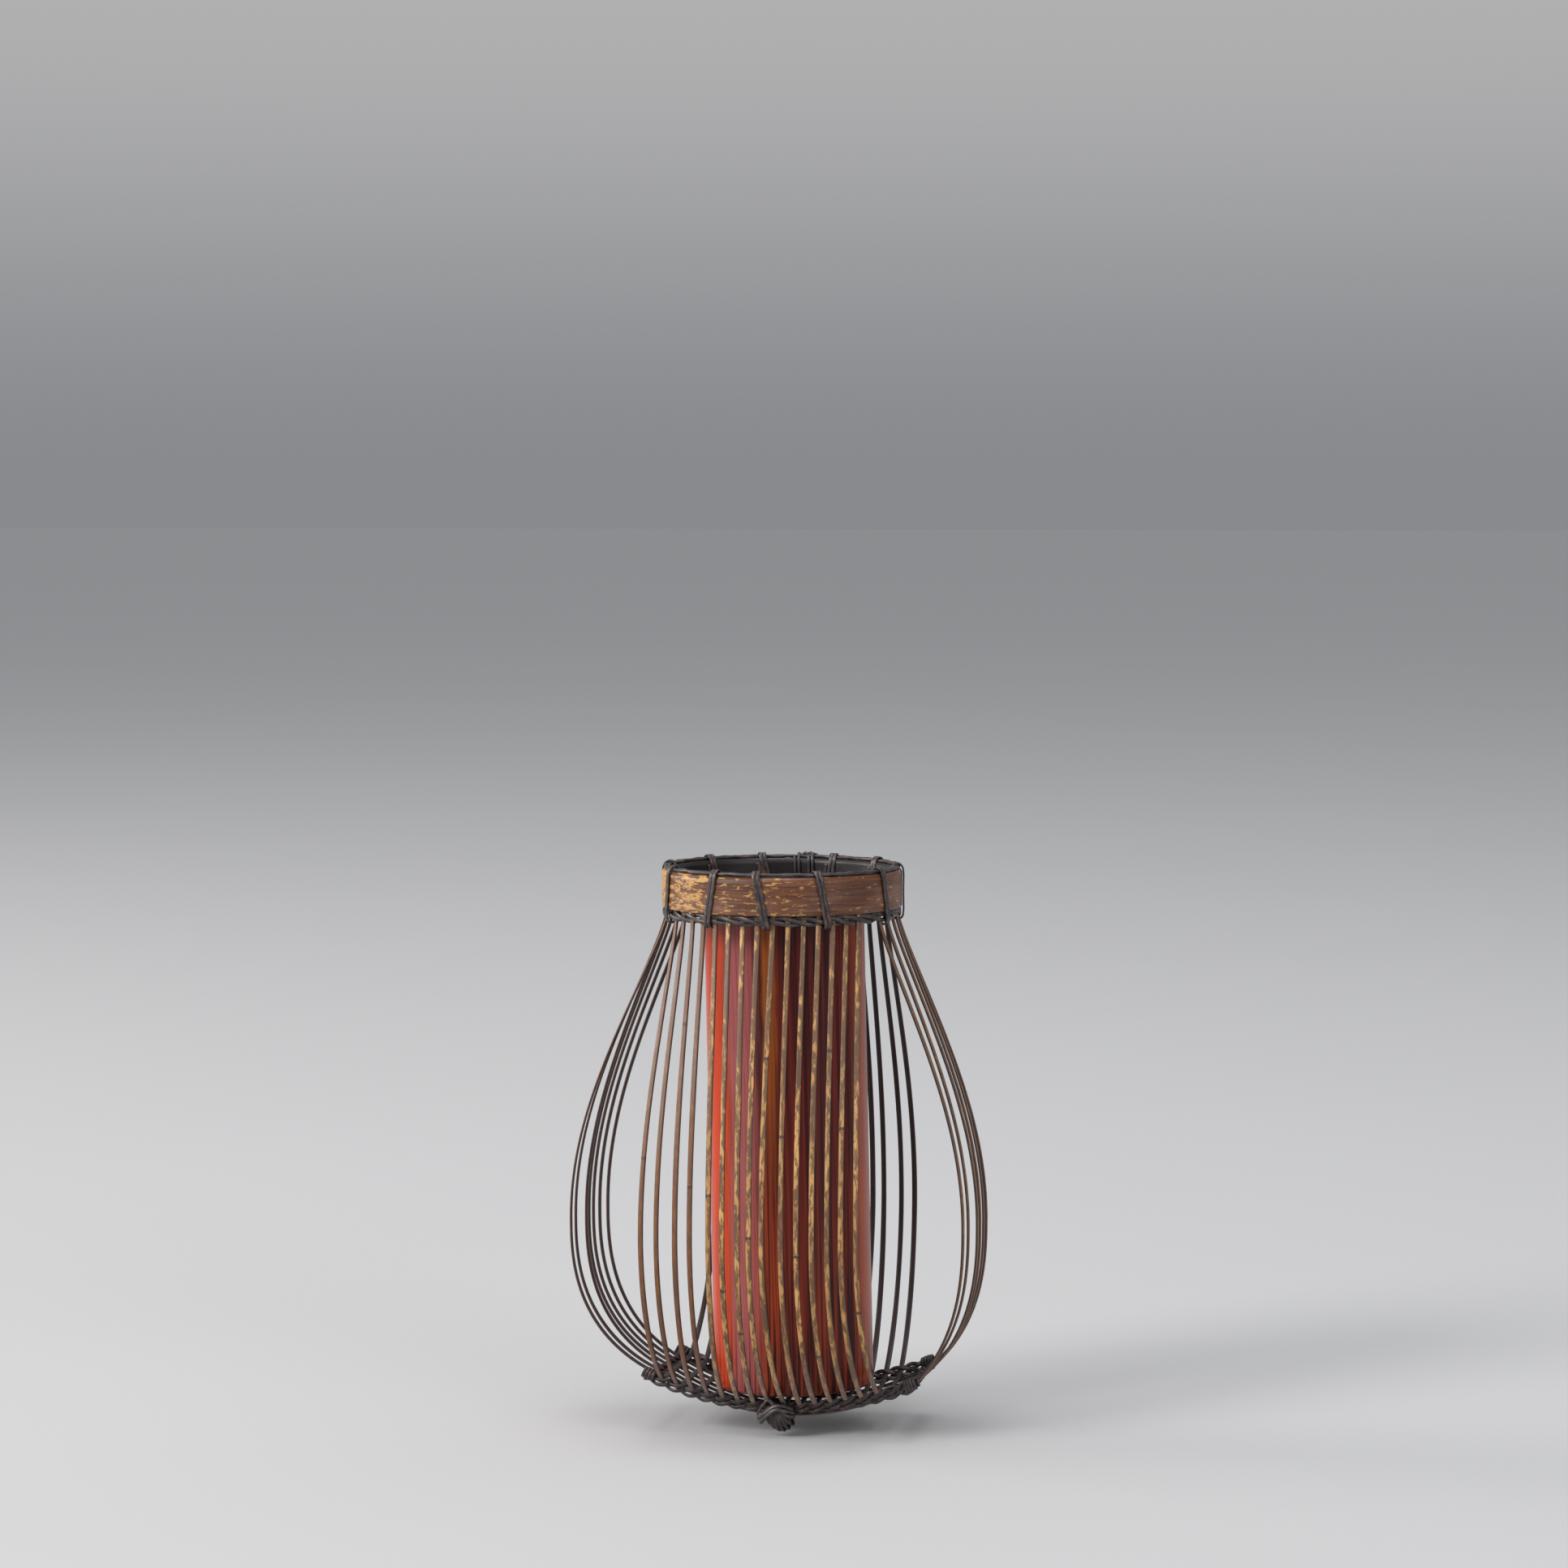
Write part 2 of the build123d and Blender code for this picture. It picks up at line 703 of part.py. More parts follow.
ring_place = Pos(0, ring_back_reach, -ring_depth) * Rot(90, 0, 0)
save(ring_place * Torus(ring_radius, ring_cane / 2), "hanging_ring")
for side, side_name in ((-1, "right"), (1, "left")):
    drop = sqrt(ring_radius**2 - (ring_back_reach * sin(radians(ring_tie_angle))) ** 2)
    around = (ring_cane + lash_cane) / 2 + ring_tie_clearance
    low_arc = ring_depth + drop
    tail = [
        (hoop_outer_radius + lash_clearance + lash_cane / 2, low_arc - 2 * around, 0, 1),
        (ring_back_reach, low_arc - around, 1, ring_tie_way_share),
        (ring_back_reach + around, low_arc, 0, 1),
        (ring_back_reach, low_arc + around, -1, ring_tie_way_share),
    ]
    name = f"hanging_ring_tie_{side_name}"
    save(rim_lashing(180 + side * ring_tie_angle, 1, 0, tail, name), name)

save(water_tube(), "water_tube")
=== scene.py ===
from math import cos, pi, radians, sin

import bmesh
import bpy
import numpy as np
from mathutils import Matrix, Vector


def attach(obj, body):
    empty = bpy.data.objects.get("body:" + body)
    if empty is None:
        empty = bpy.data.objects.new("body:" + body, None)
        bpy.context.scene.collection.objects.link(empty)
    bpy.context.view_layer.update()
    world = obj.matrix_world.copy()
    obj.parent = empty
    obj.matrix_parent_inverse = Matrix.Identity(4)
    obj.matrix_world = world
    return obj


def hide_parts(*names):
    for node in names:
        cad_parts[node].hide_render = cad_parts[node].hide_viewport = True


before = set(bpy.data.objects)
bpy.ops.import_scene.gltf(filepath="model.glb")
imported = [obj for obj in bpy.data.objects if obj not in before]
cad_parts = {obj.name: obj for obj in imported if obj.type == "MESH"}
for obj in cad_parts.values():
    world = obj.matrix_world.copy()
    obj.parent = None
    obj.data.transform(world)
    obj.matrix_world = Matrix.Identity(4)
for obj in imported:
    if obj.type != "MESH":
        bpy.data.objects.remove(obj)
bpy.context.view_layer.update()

# Sizes are in millimetres with the rim's axis at x = y = 0 and z = 0 at the top of the rim band.
# The shift takes them to the row's frame, whose origin is the hanging ring's centre.
frameShift = np.array([0.0, -44.5, 6.0])
chance = np.random.default_rng(7)
# Each shell starts at its own place in the noise, up to this far along it
grainRun = 900


def toFrame(points):
    return (points + frameShift) * 0.001


def unit(vectors):
    return vectors / np.maximum(np.linalg.norm(vectors, axis=-1, keepdims=True), 1e-9)


def lerp(a, b, share):
    return a + (b - a) * share


def anglesRound(count):
    return 2 * pi * np.arange(count) / count


def tone(red, green, blue):
    # A colour as it is seen on a screen, 0 to 255, turned into scene values
    values = np.array([red, green, blue]) / 255
    linear = np.where(values < 0.04045, values / 12.92, ((values + 0.055) / 1.055) ** 2.4)
    return (*[float(v) for v in linear], 1.0)


# Shader tools


class Field:
    # Wraps one socket of a material, so that shader maths reads like plain maths
    def __init__(self, tree, socket=None):
        self.tree = tree
        self.socket = socket

    def make(self, kind, settings=None, sockets=None, output=0):
        node = self.tree.nodes.new(kind)
        for key, value in (settings or {}).items():
            setattr(node, key, value)
        for key, value in (sockets or {}).items():
            if isinstance(value, Field):
                self.tree.links.new(value.socket, node.inputs[key])
            else:
                node.inputs[key].default_value = value
        return Field(self.tree, node.outputs[output])

    def maths(self, operation, first, second=0.0):
        return self.make("ShaderNodeMath", {"operation": operation}, {0: first, 1: second})

    def __add__(self, other):
        return self.maths("ADD", self, other)

    def __sub__(self, other):
        return self.maths("SUBTRACT", self, other)

    def __mul__(self, other):
        return self.maths("MULTIPLY", self, other)

    def __truediv__(self, other):
        return self.maths("DIVIDE", self, other)

    def __radd__(self, other):
        return self.maths("ADD", other, self)

    def __rsub__(self, other):
        return self.maths("SUBTRACT", other, self)

    def __abs__(self):
        return self.maths("ABSOLUTE", self)

    def part(self, index):
        return self.make("ShaderNodeSeparateXYZ", None, {0: self}, index)

    def step(self, low, high):
        # 0 below low, 1 above high and smooth between
        settings = {"interpolation_type": "SMOOTHSTEP"}
        sockets = {"Value": self, "From Min": low, "From Max": high, "To Min": 0.0, "To Max": 1.0}
        return self.make("ShaderNodeMapRange", settings, sockets)

    def blend(self, first, second):
        # Mixes two colours by this value
        sockets = {0: self, 6: first, 7: second}
        return self.make("ShaderNodeMix", {"data_type": "RGBA", "clamp_factor": True}, sockets, 2)

    def patch(self, settings):
        # 0 below the first setting, the third above the second and smooth between
        low, high, most = settings
        return self.step(low, high) * most

    def grain(self, settings):
        # Noise over this place: its scales and shifts for three ways, then detail, roughness and warp
        scale, shift, detail, rough, warp = settings
        sockets = {0: self, 1: scale, 2: shift}
        place = self.make("ShaderNodeVectorMath", {"operation": "MULTIPLY_ADD"}, sockets)
        sockets = {"Vector": place, "Scale": 1.0, "Detail": detail, "Roughness": rough, "Distortion": warp}
        return self.make("ShaderNodeTexNoise", None, sockets)


def newMaterial(name, constants):
    # The varying inputs are joined by the caller, the constants are set straight on the shader
    material = bpy.data.materials.new(name)
    material.use_nodes = True
    tree = material.node_tree
    tree.nodes.clear()
    output = tree.nodes.new("ShaderNodeOutputMaterial")
    shader = tree.nodes.new("ShaderNodeBsdfPrincipled")
    tree.links.new(shader.outputs[0], output.inputs[0])
    for key, value in constants.items():
        shader.inputs[key].default_value = value
    field = Field(tree)

    def join(key, value):
        tree.links.new(value.socket, shader.inputs[key])

    lay = field.make("ShaderNodeAttribute", {"attribute_name": "lay"}, None, 1)
    shade = field.make("ShaderNodeAttribute", {"attribute_name": "shade"}, None, 2)
    return material, field, lay, shade, join


def bumpOf(field, height, settings):
    distance, strength = settings
    return field.make("ShaderNodeBump", None, {"Strength": strength, "Distance": distance, "Height": height})


# Materials. A noise has scales and shifts along, across and through its piece, then detail, roughness
# and warp. A patch has the value where it starts, the value where it is full, and its strength there.
# A bump has its distance in metres and its strength.

# Strips: gold bark mottled with smoke, near-black inner face and edges, a thin line at each node
stripLook = {
    "constants": {"Specular IOR Level": 0.35, "Coat Roughness": 0.3},
    "bark": tone(196, 150, 90),
    "barkBrown": tone(106, 66, 38),
    "smoke": tone(74, 50, 38),
    "inner": tone(42, 34, 36),
    "edge": tone(60, 44, 40),
    "base": tone(140, 122, 118),
    "fibre": ((0.03, 3.2, 0.7), (0.0, 0.0, 0.0), 4.0, 0.6, 0.0),
    "mottle": ((0.2, 0.75, 0.0), (0.0, 0.0, 3.0), 5.0, 0.66, 0.5),
    "cloud": ((0.035, 0.0, 0.0), (0.0, 1.0, 7.0), 2.0, 0.5, 0.0),
    "spots": ((0.7, 1.3, 0.0), (0.0, 0.0, 11.0), 3.0, 0.6, 0.0),
    "brownPatch": (0.42, 0.62, 0.6),
    "neckSmoke": (-0.085, -0.03, 0.06),
    "cloudSmoke": 0.25,
    "paintedSideShade": 0.04,
    "smokeFrom": 0.55,
    "smokeFull": 0.66,
    "smokeShare": 0.85,
    "smokeLessOnBrown": 0.35,
    "fibrePatch": (0.5, 0.75, 0.45),
    "spotPatch": (0.62, 0.7, 0.6),
    "nodeEvery": 151.0,
    "nodeFrom": 0.25,
    "nodeTo": 0.75,
    "nodeShare": 0.85,
    "baseHeights": (-0.182, -0.150),
    "baseShare": 0.6,
    "edgePatch": (0.62, 0.86, 0.55),
    "innerFibres": (0.35, 0.7),
    "barkSide": (0.05, 0.55),
    "roughLeast": 0.34,
    "roughMottle": 0.25,
    "coatPatch": (0.3, 0.7, 0.2),
    "nodeRise": 1.5,
    "bump": (0.00012, 0.6),
}


def makeStripMaterial(look):
    material, field, lay, shade, join = newMaterial("strip_bamboo_look", look["constants"])
    along, across, skin = lay.part(0), lay.part(1), lay.part(2)
    fibre, mottle, cloud, spots = [lay.grain(look[key]) for key in ("fibre", "mottle", "cloud", "spots")]
    height = field.make("ShaderNodeTexCoord", None, None, 3).part(2)
    gold = shade.blend(look["bark"], look["barkBrown"])
    gold = cloud.patch(look["brownPatch"]).blend(gold, look["barkBrown"])
    # Smoke hangs thicker towards the neck, where only short golden dashes are left. The across term is
    # painted shade: one side of each strip a little darker.
    smoke = mottle + cloud * look["cloudSmoke"] + across * look["paintedSideShade"]
    smoke = smoke + height.patch(look["neckSmoke"])
    smoked = smoke.step(look["smokeFrom"], look["smokeFull"])
    smoked = smoked * (look["smokeShare"] - shade * look["smokeLessOnBrown"])
    gold = smoked.blend(gold, look["smoke"])
    gold = fibre.patch(look["fibrePatch"]).blend(gold, look["smoke"])
    gold = spots.patch(look["spotPatch"]).blend(gold, look["smoke"])
    # The node: how far this place is from the nearest whole number of node lengths
    fromNode = field.maths("PINGPONG", along, look["nodeEvery"] / 2)
    mark = 1.0 - fromNode.step(look["nodeFrom"], look["nodeTo"])
    gold = (mark * look["nodeShare"]).blend(gold, look["edge"])
    low = 1.0 - height.step(*look["baseHeights"])
    gold = (low * look["baseShare"]).blend(gold, look["base"])
    gold = abs(across).patch(look["edgePatch"]).blend(gold, look["edge"])
    side = fibre.step(*look["innerFibres"]).blend(look["inner"], look["edge"])
    join("Base Color", skin.step(*look["barkSide"]).blend(side, gold))
    join("Roughness", look["roughLeast"] + mottle * look["roughMottle"])
    join("Coat Weight", cloud.patch(look["coatPatch"]))
    join("Normal", bumpOf(field, fibre + mark * look["nodeRise"], look["bump"]))
    return material


# Rim hoop: smoked brown band with golden patches, paler where the smoke has not reached
hoopLook = {
    "constants": {"Specular IOR Level": 0.35, "Coat Roughness": 0.25},
    "brown": tone(114, 66, 36),
    "dark": tone(56, 33, 24),
    "gold": tone(176, 132, 72),
    "pale": tone(138, 104, 88),
    "inner": tone(24, 20, 22),
    "fibre": ((0.05, 2.6, 0.5), (0.0, 0.0, 0.0), 5.0, 0.62, 0.0),
    "mottle": ((0.22, 0.75, 0.0), (0.0, 0.0, 2.0), 6.0, 0.66, 0.4),
    "cloud": ((0.035, 0.08, 0.0), (0.0, 0.0, 9.0), 2.0, 0.5, 0.0),
    "spots": ((0.5, 0.8, 0.0), (0.0, 0.0, 4.0), 4.0, 0.6, 0.0),
    "brownFibres": (0.3, 0.72),
    "palePatch": (0.46, 0.66, 0.3),
    "bareShade": 0.26,
    "bareCloud": 0.1,
    "barePatch": (0.68, 0.74, 0.92),
    "spotPatch": (0.58, 0.7, 0.6),
    "faceSide": (-0.6, 0.2),
    "roughLeast": 0.3,
    "roughMottle": 0.28,
    "coatPatch": (0.35, 0.7, 0.3),
    "mottleRise": 0.4,
    "bump": (0.00018, 0.55),
}


def makeHoopMaterial(look):
    material, field, lay, shade, join = newMaterial("hoop_bamboo_look", look["constants"])
    skin = lay.part(2)
    fibre, mottle, cloud, spots = [lay.grain(look[key]) for key in ("fibre", "mottle", "cloud", "spots")]
    colour = fibre.step(*look["brownFibres"]).blend(look["dark"], look["brown"])
    colour = cloud.patch(look["palePatch"]).blend(colour, look["pale"])
    bare = mottle + shade * look["bareShade"] + cloud * look["bareCloud"]
    colour = bare.patch(look["barePatch"]).blend(colour, look["gold"])
    colour = spots.patch(look["spotPatch"]).blend(colour, look["dark"])
    colour = (1.0 - skin.step(*look["faceSide"])).blend(colour, look["inner"])
    join("Base Color", colour)
    join("Roughness", look["roughLeast"] + mottle * look["roughMottle"])
    join("Coat Weight", cloud.patch(look["coatPatch"]))
    join("Normal", bumpOf(field, fibre + mottle * look["mottleRise"], look["bump"]))
    return material


# Cane: stained near black, browner on the rim lashings, with painted highlights along its fine lengthwise
# fibres
caneLook = {
    "constants": {"Specular IOR Level": 0.55, "Coat Roughness": 0.28},
    "dark": tone(22, 19, 22),
    "light": tone(60, 53, 60),
    "brown": tone(88, 54, 38),
    "fibre": ((0.12, 5.0, 1.3), (0.0, 0.0, 0.0), 4.0, 0.6, 0.0),
    "mottle": ((0.35, 0.7, 0.0), (0.0, 0.0, 5.0), 4.0, 0.6, 0.0),
    "fibreHighlightPatch": (0.45, 0.75, 0.7),
    "brownFrom": 0.46,
    "brownFull": 0.62,
    "brownLeast": 0.2,
    "brownShade": 0.65,
    "roughLeast": 0.3,
    "roughFibre": 0.3,
    "coatPatch": (0.35, 0.65, 0.4),
    "bump": (0.00012, 0.7),
}


def makeCaneMaterial(look):
    material, field, lay, shade, join = newMaterial("dark_cane_look", look["constants"])
    fibre, mottle = lay.grain(look["fibre"]), lay.grain(look["mottle"])
    # The lighter fibre streaks are painted highlights
    colour = fibre.patch(look["fibreHighlightPatch"]).blend(look["dark"], look["light"])
    brown = mottle.step(look["brownFrom"], look["brownFull"])
    brown = brown * (look["brownLeast"] + shade * look["brownShade"])
    join("Base Color", brown.blend(colour, look["brown"]))
    join("Roughness", look["roughLeast"] + fibre * look["roughFibre"])
    join("Coat Weight", mottle.patch(look["coatPatch"]))
    join("Normal", bumpOf(field, fibre, look["bump"]))
    return material


# Water tube: glossy lacquer over a culm, dark maroon with vertical fibres, with light and shade painted round
# it.
# Bands round it are given from -1 at its left to 1 at its right, heights in millimetres from its foot.
lacquerLook = {
    "constants": {"IOR": 1.4, "Specular IOR Level": 0.2, "Coat Roughness": 0.14, "Coat Weight": 0.2,
                  "Coat IOR": 1.35},
    "maroon": tone(100, 32, 24),
    "deep": tone(46, 15, 13),
    "orange": tone(190, 58, 18),
    "redTintAndLight": tone(178, 72, 28),
    "amber": tone(168, 88, 28),
    "paintedSheen": tone(158, 86, 88),
    "inside": tone(60, 28, 20),
    "fibre": ((0.012, 0.9, 0.9), (0.0, 0.0, 0.0), 5.0, 0.6, 0.0),
    "fine": ((0.03, 2.6, 2.6), (0.0, 0.0, 0.0), 3.0, 0.6, 0.0),
    "cloud": ((0.02, 0.06, 0.06), (0.0, 0.0, 0.0), 3.0, 0.5, 0.4),
    "turnedBy": 12.0,
    "radius": 28.0,
    "bandWander": 0.22,
    "leftBand": (-0.82, -0.7),
    "leftShare": 1.15,
    "leftFine": 0.6,
    "sheenStart": (-0.78, -0.66),
    "sheenEnd": (-0.52, -0.3),
    "sheenShare": 0.75,
    "glowEnd": (-0.45, 0.0),
    "glowHeights": (20.0, 95.0),
    "glowLow": 0.5,
    "glowShare": 0.45,
    "glowFibres": (0.4, 0.62),
    "streakStart": (-0.34, -0.27),
    "streakEnd": (-0.17, -0.1),
    "streakHeights": (60.0, 130.0),
    "streakShare": 0.6,
    "paintedRightEdgeLight": (0.7, 0.9, 0.6),
    "maroonFibres": (0.36, 0.62),
    "finePatch": (0.5, 0.7, 0.5),
    "footHeights": (0.0, 34.0),
    "footFibres": (0.42, 0.6),
    "footShare": 0.8,
    "roughLeast": 0.2,
    "roughFine": 0.2,
    "fibreRise": 0.6,
    "fineRise": 0.4,
    "bump": (0.00025, 0.5),
}


def makeLacquerMaterial(look):
    material, field, lay, shade, join = newMaterial("lacquered_culm_look", look["constants"])
    up, sideways, inward = lay.part(0), lay.part(1), lay.part(2)
    fibre, fine, cloud = [lay.grain(look[key]) for key in ("fibre", "fine", "cloud")]
    # From the tube's left to its right as the camera sees it, with noise that breaks the bands of painted
    # light up
    turned = radians(look["turnedBy"])
    where = (sideways * cos(turned) + inward * sin(turned)) / look["radius"]
    where = where + (cloud - 0.5) * look["bandWander"]
    # Orange-red on the left: painted light on the tube's lit left side
    litLeftSide = 1.0 - where.step(*look["leftBand"])
    # A pink band left of the middle: a painted sheen, the lacquer's reflection painted into its colour
    sheen = where.step(*look["sheenStart"]) * (1.0 - where.step(*look["sheenEnd"]))
    # Red-brown towards the left is painted light on the lit side; towards the foot it is the lacquer's own
    # orange tint
    glow = (1.0 - where.step(*look["glowEnd"])) + (1.0 - up.step(*look["glowHeights"])) * look["glowLow"]
    colour = fibre.step(*look["maroonFibres"]).blend(look["maroon"], look["deep"])
    glow = glow * (1.0 - fibre.step(*look["glowFibres"])) * look["glowShare"]
    colour = glow.blend(colour, look["redTintAndLight"])
    colour = (sheen * look["sheenShare"]).blend(colour, look["paintedSheen"])
    colour = (litLeftSide * (look["leftShare"] - fine * look["leftFine"])).blend(colour, look["orange"])
    # One amber streak a little left of the middle, high on the tube
    streak = where.step(*look["streakStart"]) * (1.0 - where.step(*look["streakEnd"]))
    streak = streak * up.step(*look["streakHeights"])
    colour = (streak * look["streakShare"]).blend(colour, look["amber"])
    # Red-brown along the right edge: painted reflected light at the tube's edge
    colour = where.patch(look["paintedRightEdgeLight"]).blend(colour, look["redTintAndLight"])
    colour = fine.patch(look["finePatch"]).blend(colour, look["deep"])
    foot = (1.0 - up.step(*look["footHeights"])) * fibre.step(*look["footFibres"])
    colour = (foot * look["footShare"]).blend(colour, look["deep"])
    join("Base Color", shade.blend(colour, look["inside"]))
    join("Roughness", look["roughLeast"] + fine * look["roughFine"])
    join("Normal", bumpOf(field, fibre * look["fibreRise"] + fine * look["fineRise"], look["bump"]))
    return material


looks = {
    "strip_bamboo": makeStripMaterial(stripLook),
    "hoop_bamboo": makeHoopMaterial(hoopLook),
    "dark_cane": makeCaneMaterial(caneLook),
    "lacquered_culm": makeLacquerMaterial(lacquerLook),
}
print("materials made")


# Mesh tools


def sweepShell(path, out, profile, shade, closed=False, swell=None):
    # One shell: a closed profile (across, outwards) carried along a path, its outward side towards out
    path = np.asarray(path, float)
    if closed:
        ahead = np.roll(path, -1, 0) - np.roll(path, 1, 0)
    else:
        ahead = np.gradient(path, axis=0)
    ahead = unit(ahead)
    flat = unit(np.cross(out, ahead))
    upright = np.cross(ahead, flat)
    profile = np.asarray(profile, float)
    scale = np.ones(len(path)) if swell is None else swell
    across = profile[None, :, 0, None] * flat[:, None] * scale[:, None, None]
    points = path[:, None] + across + profile[None, :, 1, None] * upright[:, None]
    runs = np.linalg.norm(np.diff(np.vstack([path, path[:1]]) if closed else path, axis=0), axis=1)
    along = np.concatenate([[0], np.cumsum(runs)]) + chance.uniform(0, grainRun)
    around = np.vstack([profile, profile[:1]])
    tall = around[:, 1] / max(abs(profile[:, 1]).max(), 1e-9)
    lay = np.stack(np.broadcast_arrays(along[:, None], around[None, :, 0], tall[None]), -1)
    shades = np.broadcast_to(np.asarray(shade, float).reshape(-1, 1), lay.shape[:2])
    return {"points": points, "lay": lay, "shade": shades, "closed": closed}


def addObject(name, data):
    made = bpy.data.objects.new(name, data)
    bpy.context.scene.collection.objects.link(made)
    return made


def addPiece(name, shells, slotName, nodes, body="basket"):
    # Joins shells into one mesh object that stands for the named CAD nodes
    vertices, corners, sizes, lays, shades = [], [], [], [], []
    start = 0
    for shell in shells:
        points, lay, shade = shell["points"], shell["lay"], shell["shade"]
        count, ring = points.shape[:2]
        rows = count if shell["closed"] else count - 1
        i, j = np.meshgrid(np.arange(rows), np.arange(ring), indexing="ij")
        i = np.stack([i, i + 1, i + 1, i], -1).reshape(-1)
        j = np.stack([j, j, j + 1, j + 1], -1).reshape(-1)
        corners.append(start + (i % count) * ring + j % ring)
        sizes.append(np.full(rows * ring, 4))
        lays.append(lay[i, j])
        shades.append(shade[i, j])
        if not shell["closed"]:
            for row, order in ((0, np.arange(ring)[::-1]), (count - 1, np.arange(ring))):
                corners.append(start + row * ring + order)
                sizes.append(np.array([ring]))
                lays.append(lay[row, order])
                shades.append(shade[row, order])
        vertices.append(toFrame(points).reshape(-1, 3))
        start += count * ring
    vertices, corners, sizes = [np.concatenate(values) for values in (vertices, corners, sizes)]
    mesh = bpy.data.meshes.new(name)
    mesh.vertices.add(len(vertices))
    mesh.vertices.foreach_set("co", vertices.astype(np.float32).ravel())
    mesh.loops.add(len(corners))
    mesh.loops.foreach_set("vertex_index", corners.astype(np.int32))
    mesh.polygons.add(len(sizes))
    mesh.polygons.foreach_set("loop_start", np.concatenate([[0], np.cumsum(sizes)[:-1]]).astype(np.int32))
    mesh.polygons.foreach_set("loop_total", sizes.astype(np.int32))
    mesh.update(calc_edges=True)
    attributes = (("lay", "FLOAT_VECTOR", "vector", lays), ("shade", "FLOAT", "value", shades))
    for key, kind, field, values in attributes:
        data = mesh.attributes.new(key, kind, "CORNER").data
        data.foreach_set(field, np.concatenate(values).astype(np.float32).ravel())
    work = bmesh.new()
    work.from_mesh(mesh)
    bmesh.ops.recalc_face_normals(work, faces=work.faces)
    work.to_mesh(mesh)
    work.free()
    mesh.polygons.foreach_set("use_smooth", np.ones(len(mesh.polygons), bool))
    mesh.materials.append(looks[slotName])
    piece = addObject(name, mesh)
    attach(piece, body)
    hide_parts(*nodes)


def oval(width, thickness, count=10, square=0.75):
    # A rounded section: powers of the cosine and sine under 1 make it squarer than an ellipse
    turn = anglesRound(count)
    c, s = np.cos(turn), np.sin(turn)
    x = np.sign(c) * abs(c) ** square * width / 2
    y = np.sign(s) * abs(s) ** square * thickness / 2
    return np.column_stack([x, y])


def smoothThrough(points, steps, closed):
    # A curve through places, each stretch a cubic whose slope at a place follows its two neighbours
    points = np.asarray(points, float)
    if closed:
        before, after = np.roll(points, 1, 0), np.roll(points, -1, 0)
        ends = np.roll(points, -1, 0)
        slope = (after - before) / 2
        slopeEnd = np.roll(slope, -1, 0)
        starts = points
    else:
        slope = np.gradient(points, axis=0)
        starts, ends, slopeEnd, slope = points[:-1], points[1:], slope[1:], slope[:-1]
    t = (np.arange(steps) / steps)[None, :, None]
    a, b = starts[:, None], ends[:, None]
    u, v = slope[:, None], slopeEnd[:, None]
    curve = (2 * t**3 - 3 * t**2 + 1) * a + (3 * t**2 - 2 * t**3) * b
    curve = curve + (t**3 - 2 * t**2 + t) * u + (t**3 - t**2) * v
    curve = curve.reshape(-1, points.shape[1])
    return curve if closed else np.vstack([curve, points[-1:]])


# The cage's shape, as in the CAD

cage = {
    "rimRadius": 39.85,
    "endDepth": 0.3,
    "bendStart": 11.5,
    "bendEnd": 20.0,
    "neckSwell": 0.048,
    "swellPower": 1.08,
    "bellyDepth": 122.0,
    "sideReach": 70.0,
    "frontReach": 58.0,
    "frontReachDrop": 4.0,
    "bellySpacing": 5.25,
    "sideSpacing": 5.35,
    "sidePower": 2.5,
    "frontPower": 1.85,
    "turnPower": 0.8,
    "baseHalf": 22.4,
    "baseSpacing": 5.41,
    "baseMiddle": 0.2,
    "leftEnds": (-41.6, -40.3),
    "rightEnds": (49.2, 47.4),
    "cornerDepth": 174.8,
    "edgeSag": 8.6,
    "keelDepth": 188.9,
    "keelMiddle": 5.0,
    "keelRadius": 76.9,
    "flatPower": 4,
    "layer": 0.5,
    "stripAngle": 7.5,
    "frontBackEachSide": 7,
    "sideEachSide": 3,
    "insidePlace": (4.0, 0.0, -105.0),
    # How many places a strip has in its tip, its bend, its upper and its lower curve, then in the base
    "curveCounts": (5, 9, 36, 31),
    "frontBackCount": 21,
    "sideCount": 41,
}
frontSway = [-0.14, -0.06, 0.21, 0.21, 0.47, 0.38, 0.39, 0.14, -0.03, 0.22, 0.21, 0.19, 0.16, 0.03, -0.02]
backSway = [0.10, -0.12, 0.08, -0.20, 0.15, 0.05, -0.18, 0.12, -0.05, 0.20, -0.10, 0.06, -0.15, 0.10, 0.05]
leftReach = [1.023, 1.019, 0.984, 0.990, 0.987, 0.974, 0.951]
rightReach = [0.951, 0.964, 0.996, 0.997, 1.001, 1.003, 0.986]
edgeMiddle = (sum(cage["leftEnds"]) + sum(cage["rightEnds"])) / 4
edgeHalf = (sum(cage["rightEnds"]) - sum(cage["leftEnds"])) / 4


def edgeDepth(x):
    return cage["cornerDepth"] + cage["edgeSag"] * (1 - ((x - edgeMiddle) / edgeHalf) ** 2)


def keelDepth(x):
    return cage["keelDepth"] - (x - cage["keelMiddle"]) ** 2 / (2 * cage["keelRadius"])


def baseDepth(x, y):
    # The edge's depth, plus a bowl that is flat in the middle and steep at the edge
    edgeLine = edgeDepth(x) + cage["layer"]
    return edgeLine + (keelDepth(x) - edgeLine) * (1 - abs(y / cage["baseHalf"]) ** cage["flatPower"])


def baseEnd(side, y):
    ends = cage["leftEnds"] if side < 0 else cage["rightEnds"]
    return lerp(ends[0], ends[1], (y / cage["baseHalf"] + 1) / 2)


def baseAcross(x, y, side):
    x, y = np.broadcast_arrays(np.asarray(x, float), np.asarray(y, float))
    fall = baseDepth(x + side[0], y + side[1]) - baseDepth(x - side[0], y - side[1])
    return unit(np.stack([0 * x + 2 * side[0], 0 * y + 2 * side[1], -fall], -1))


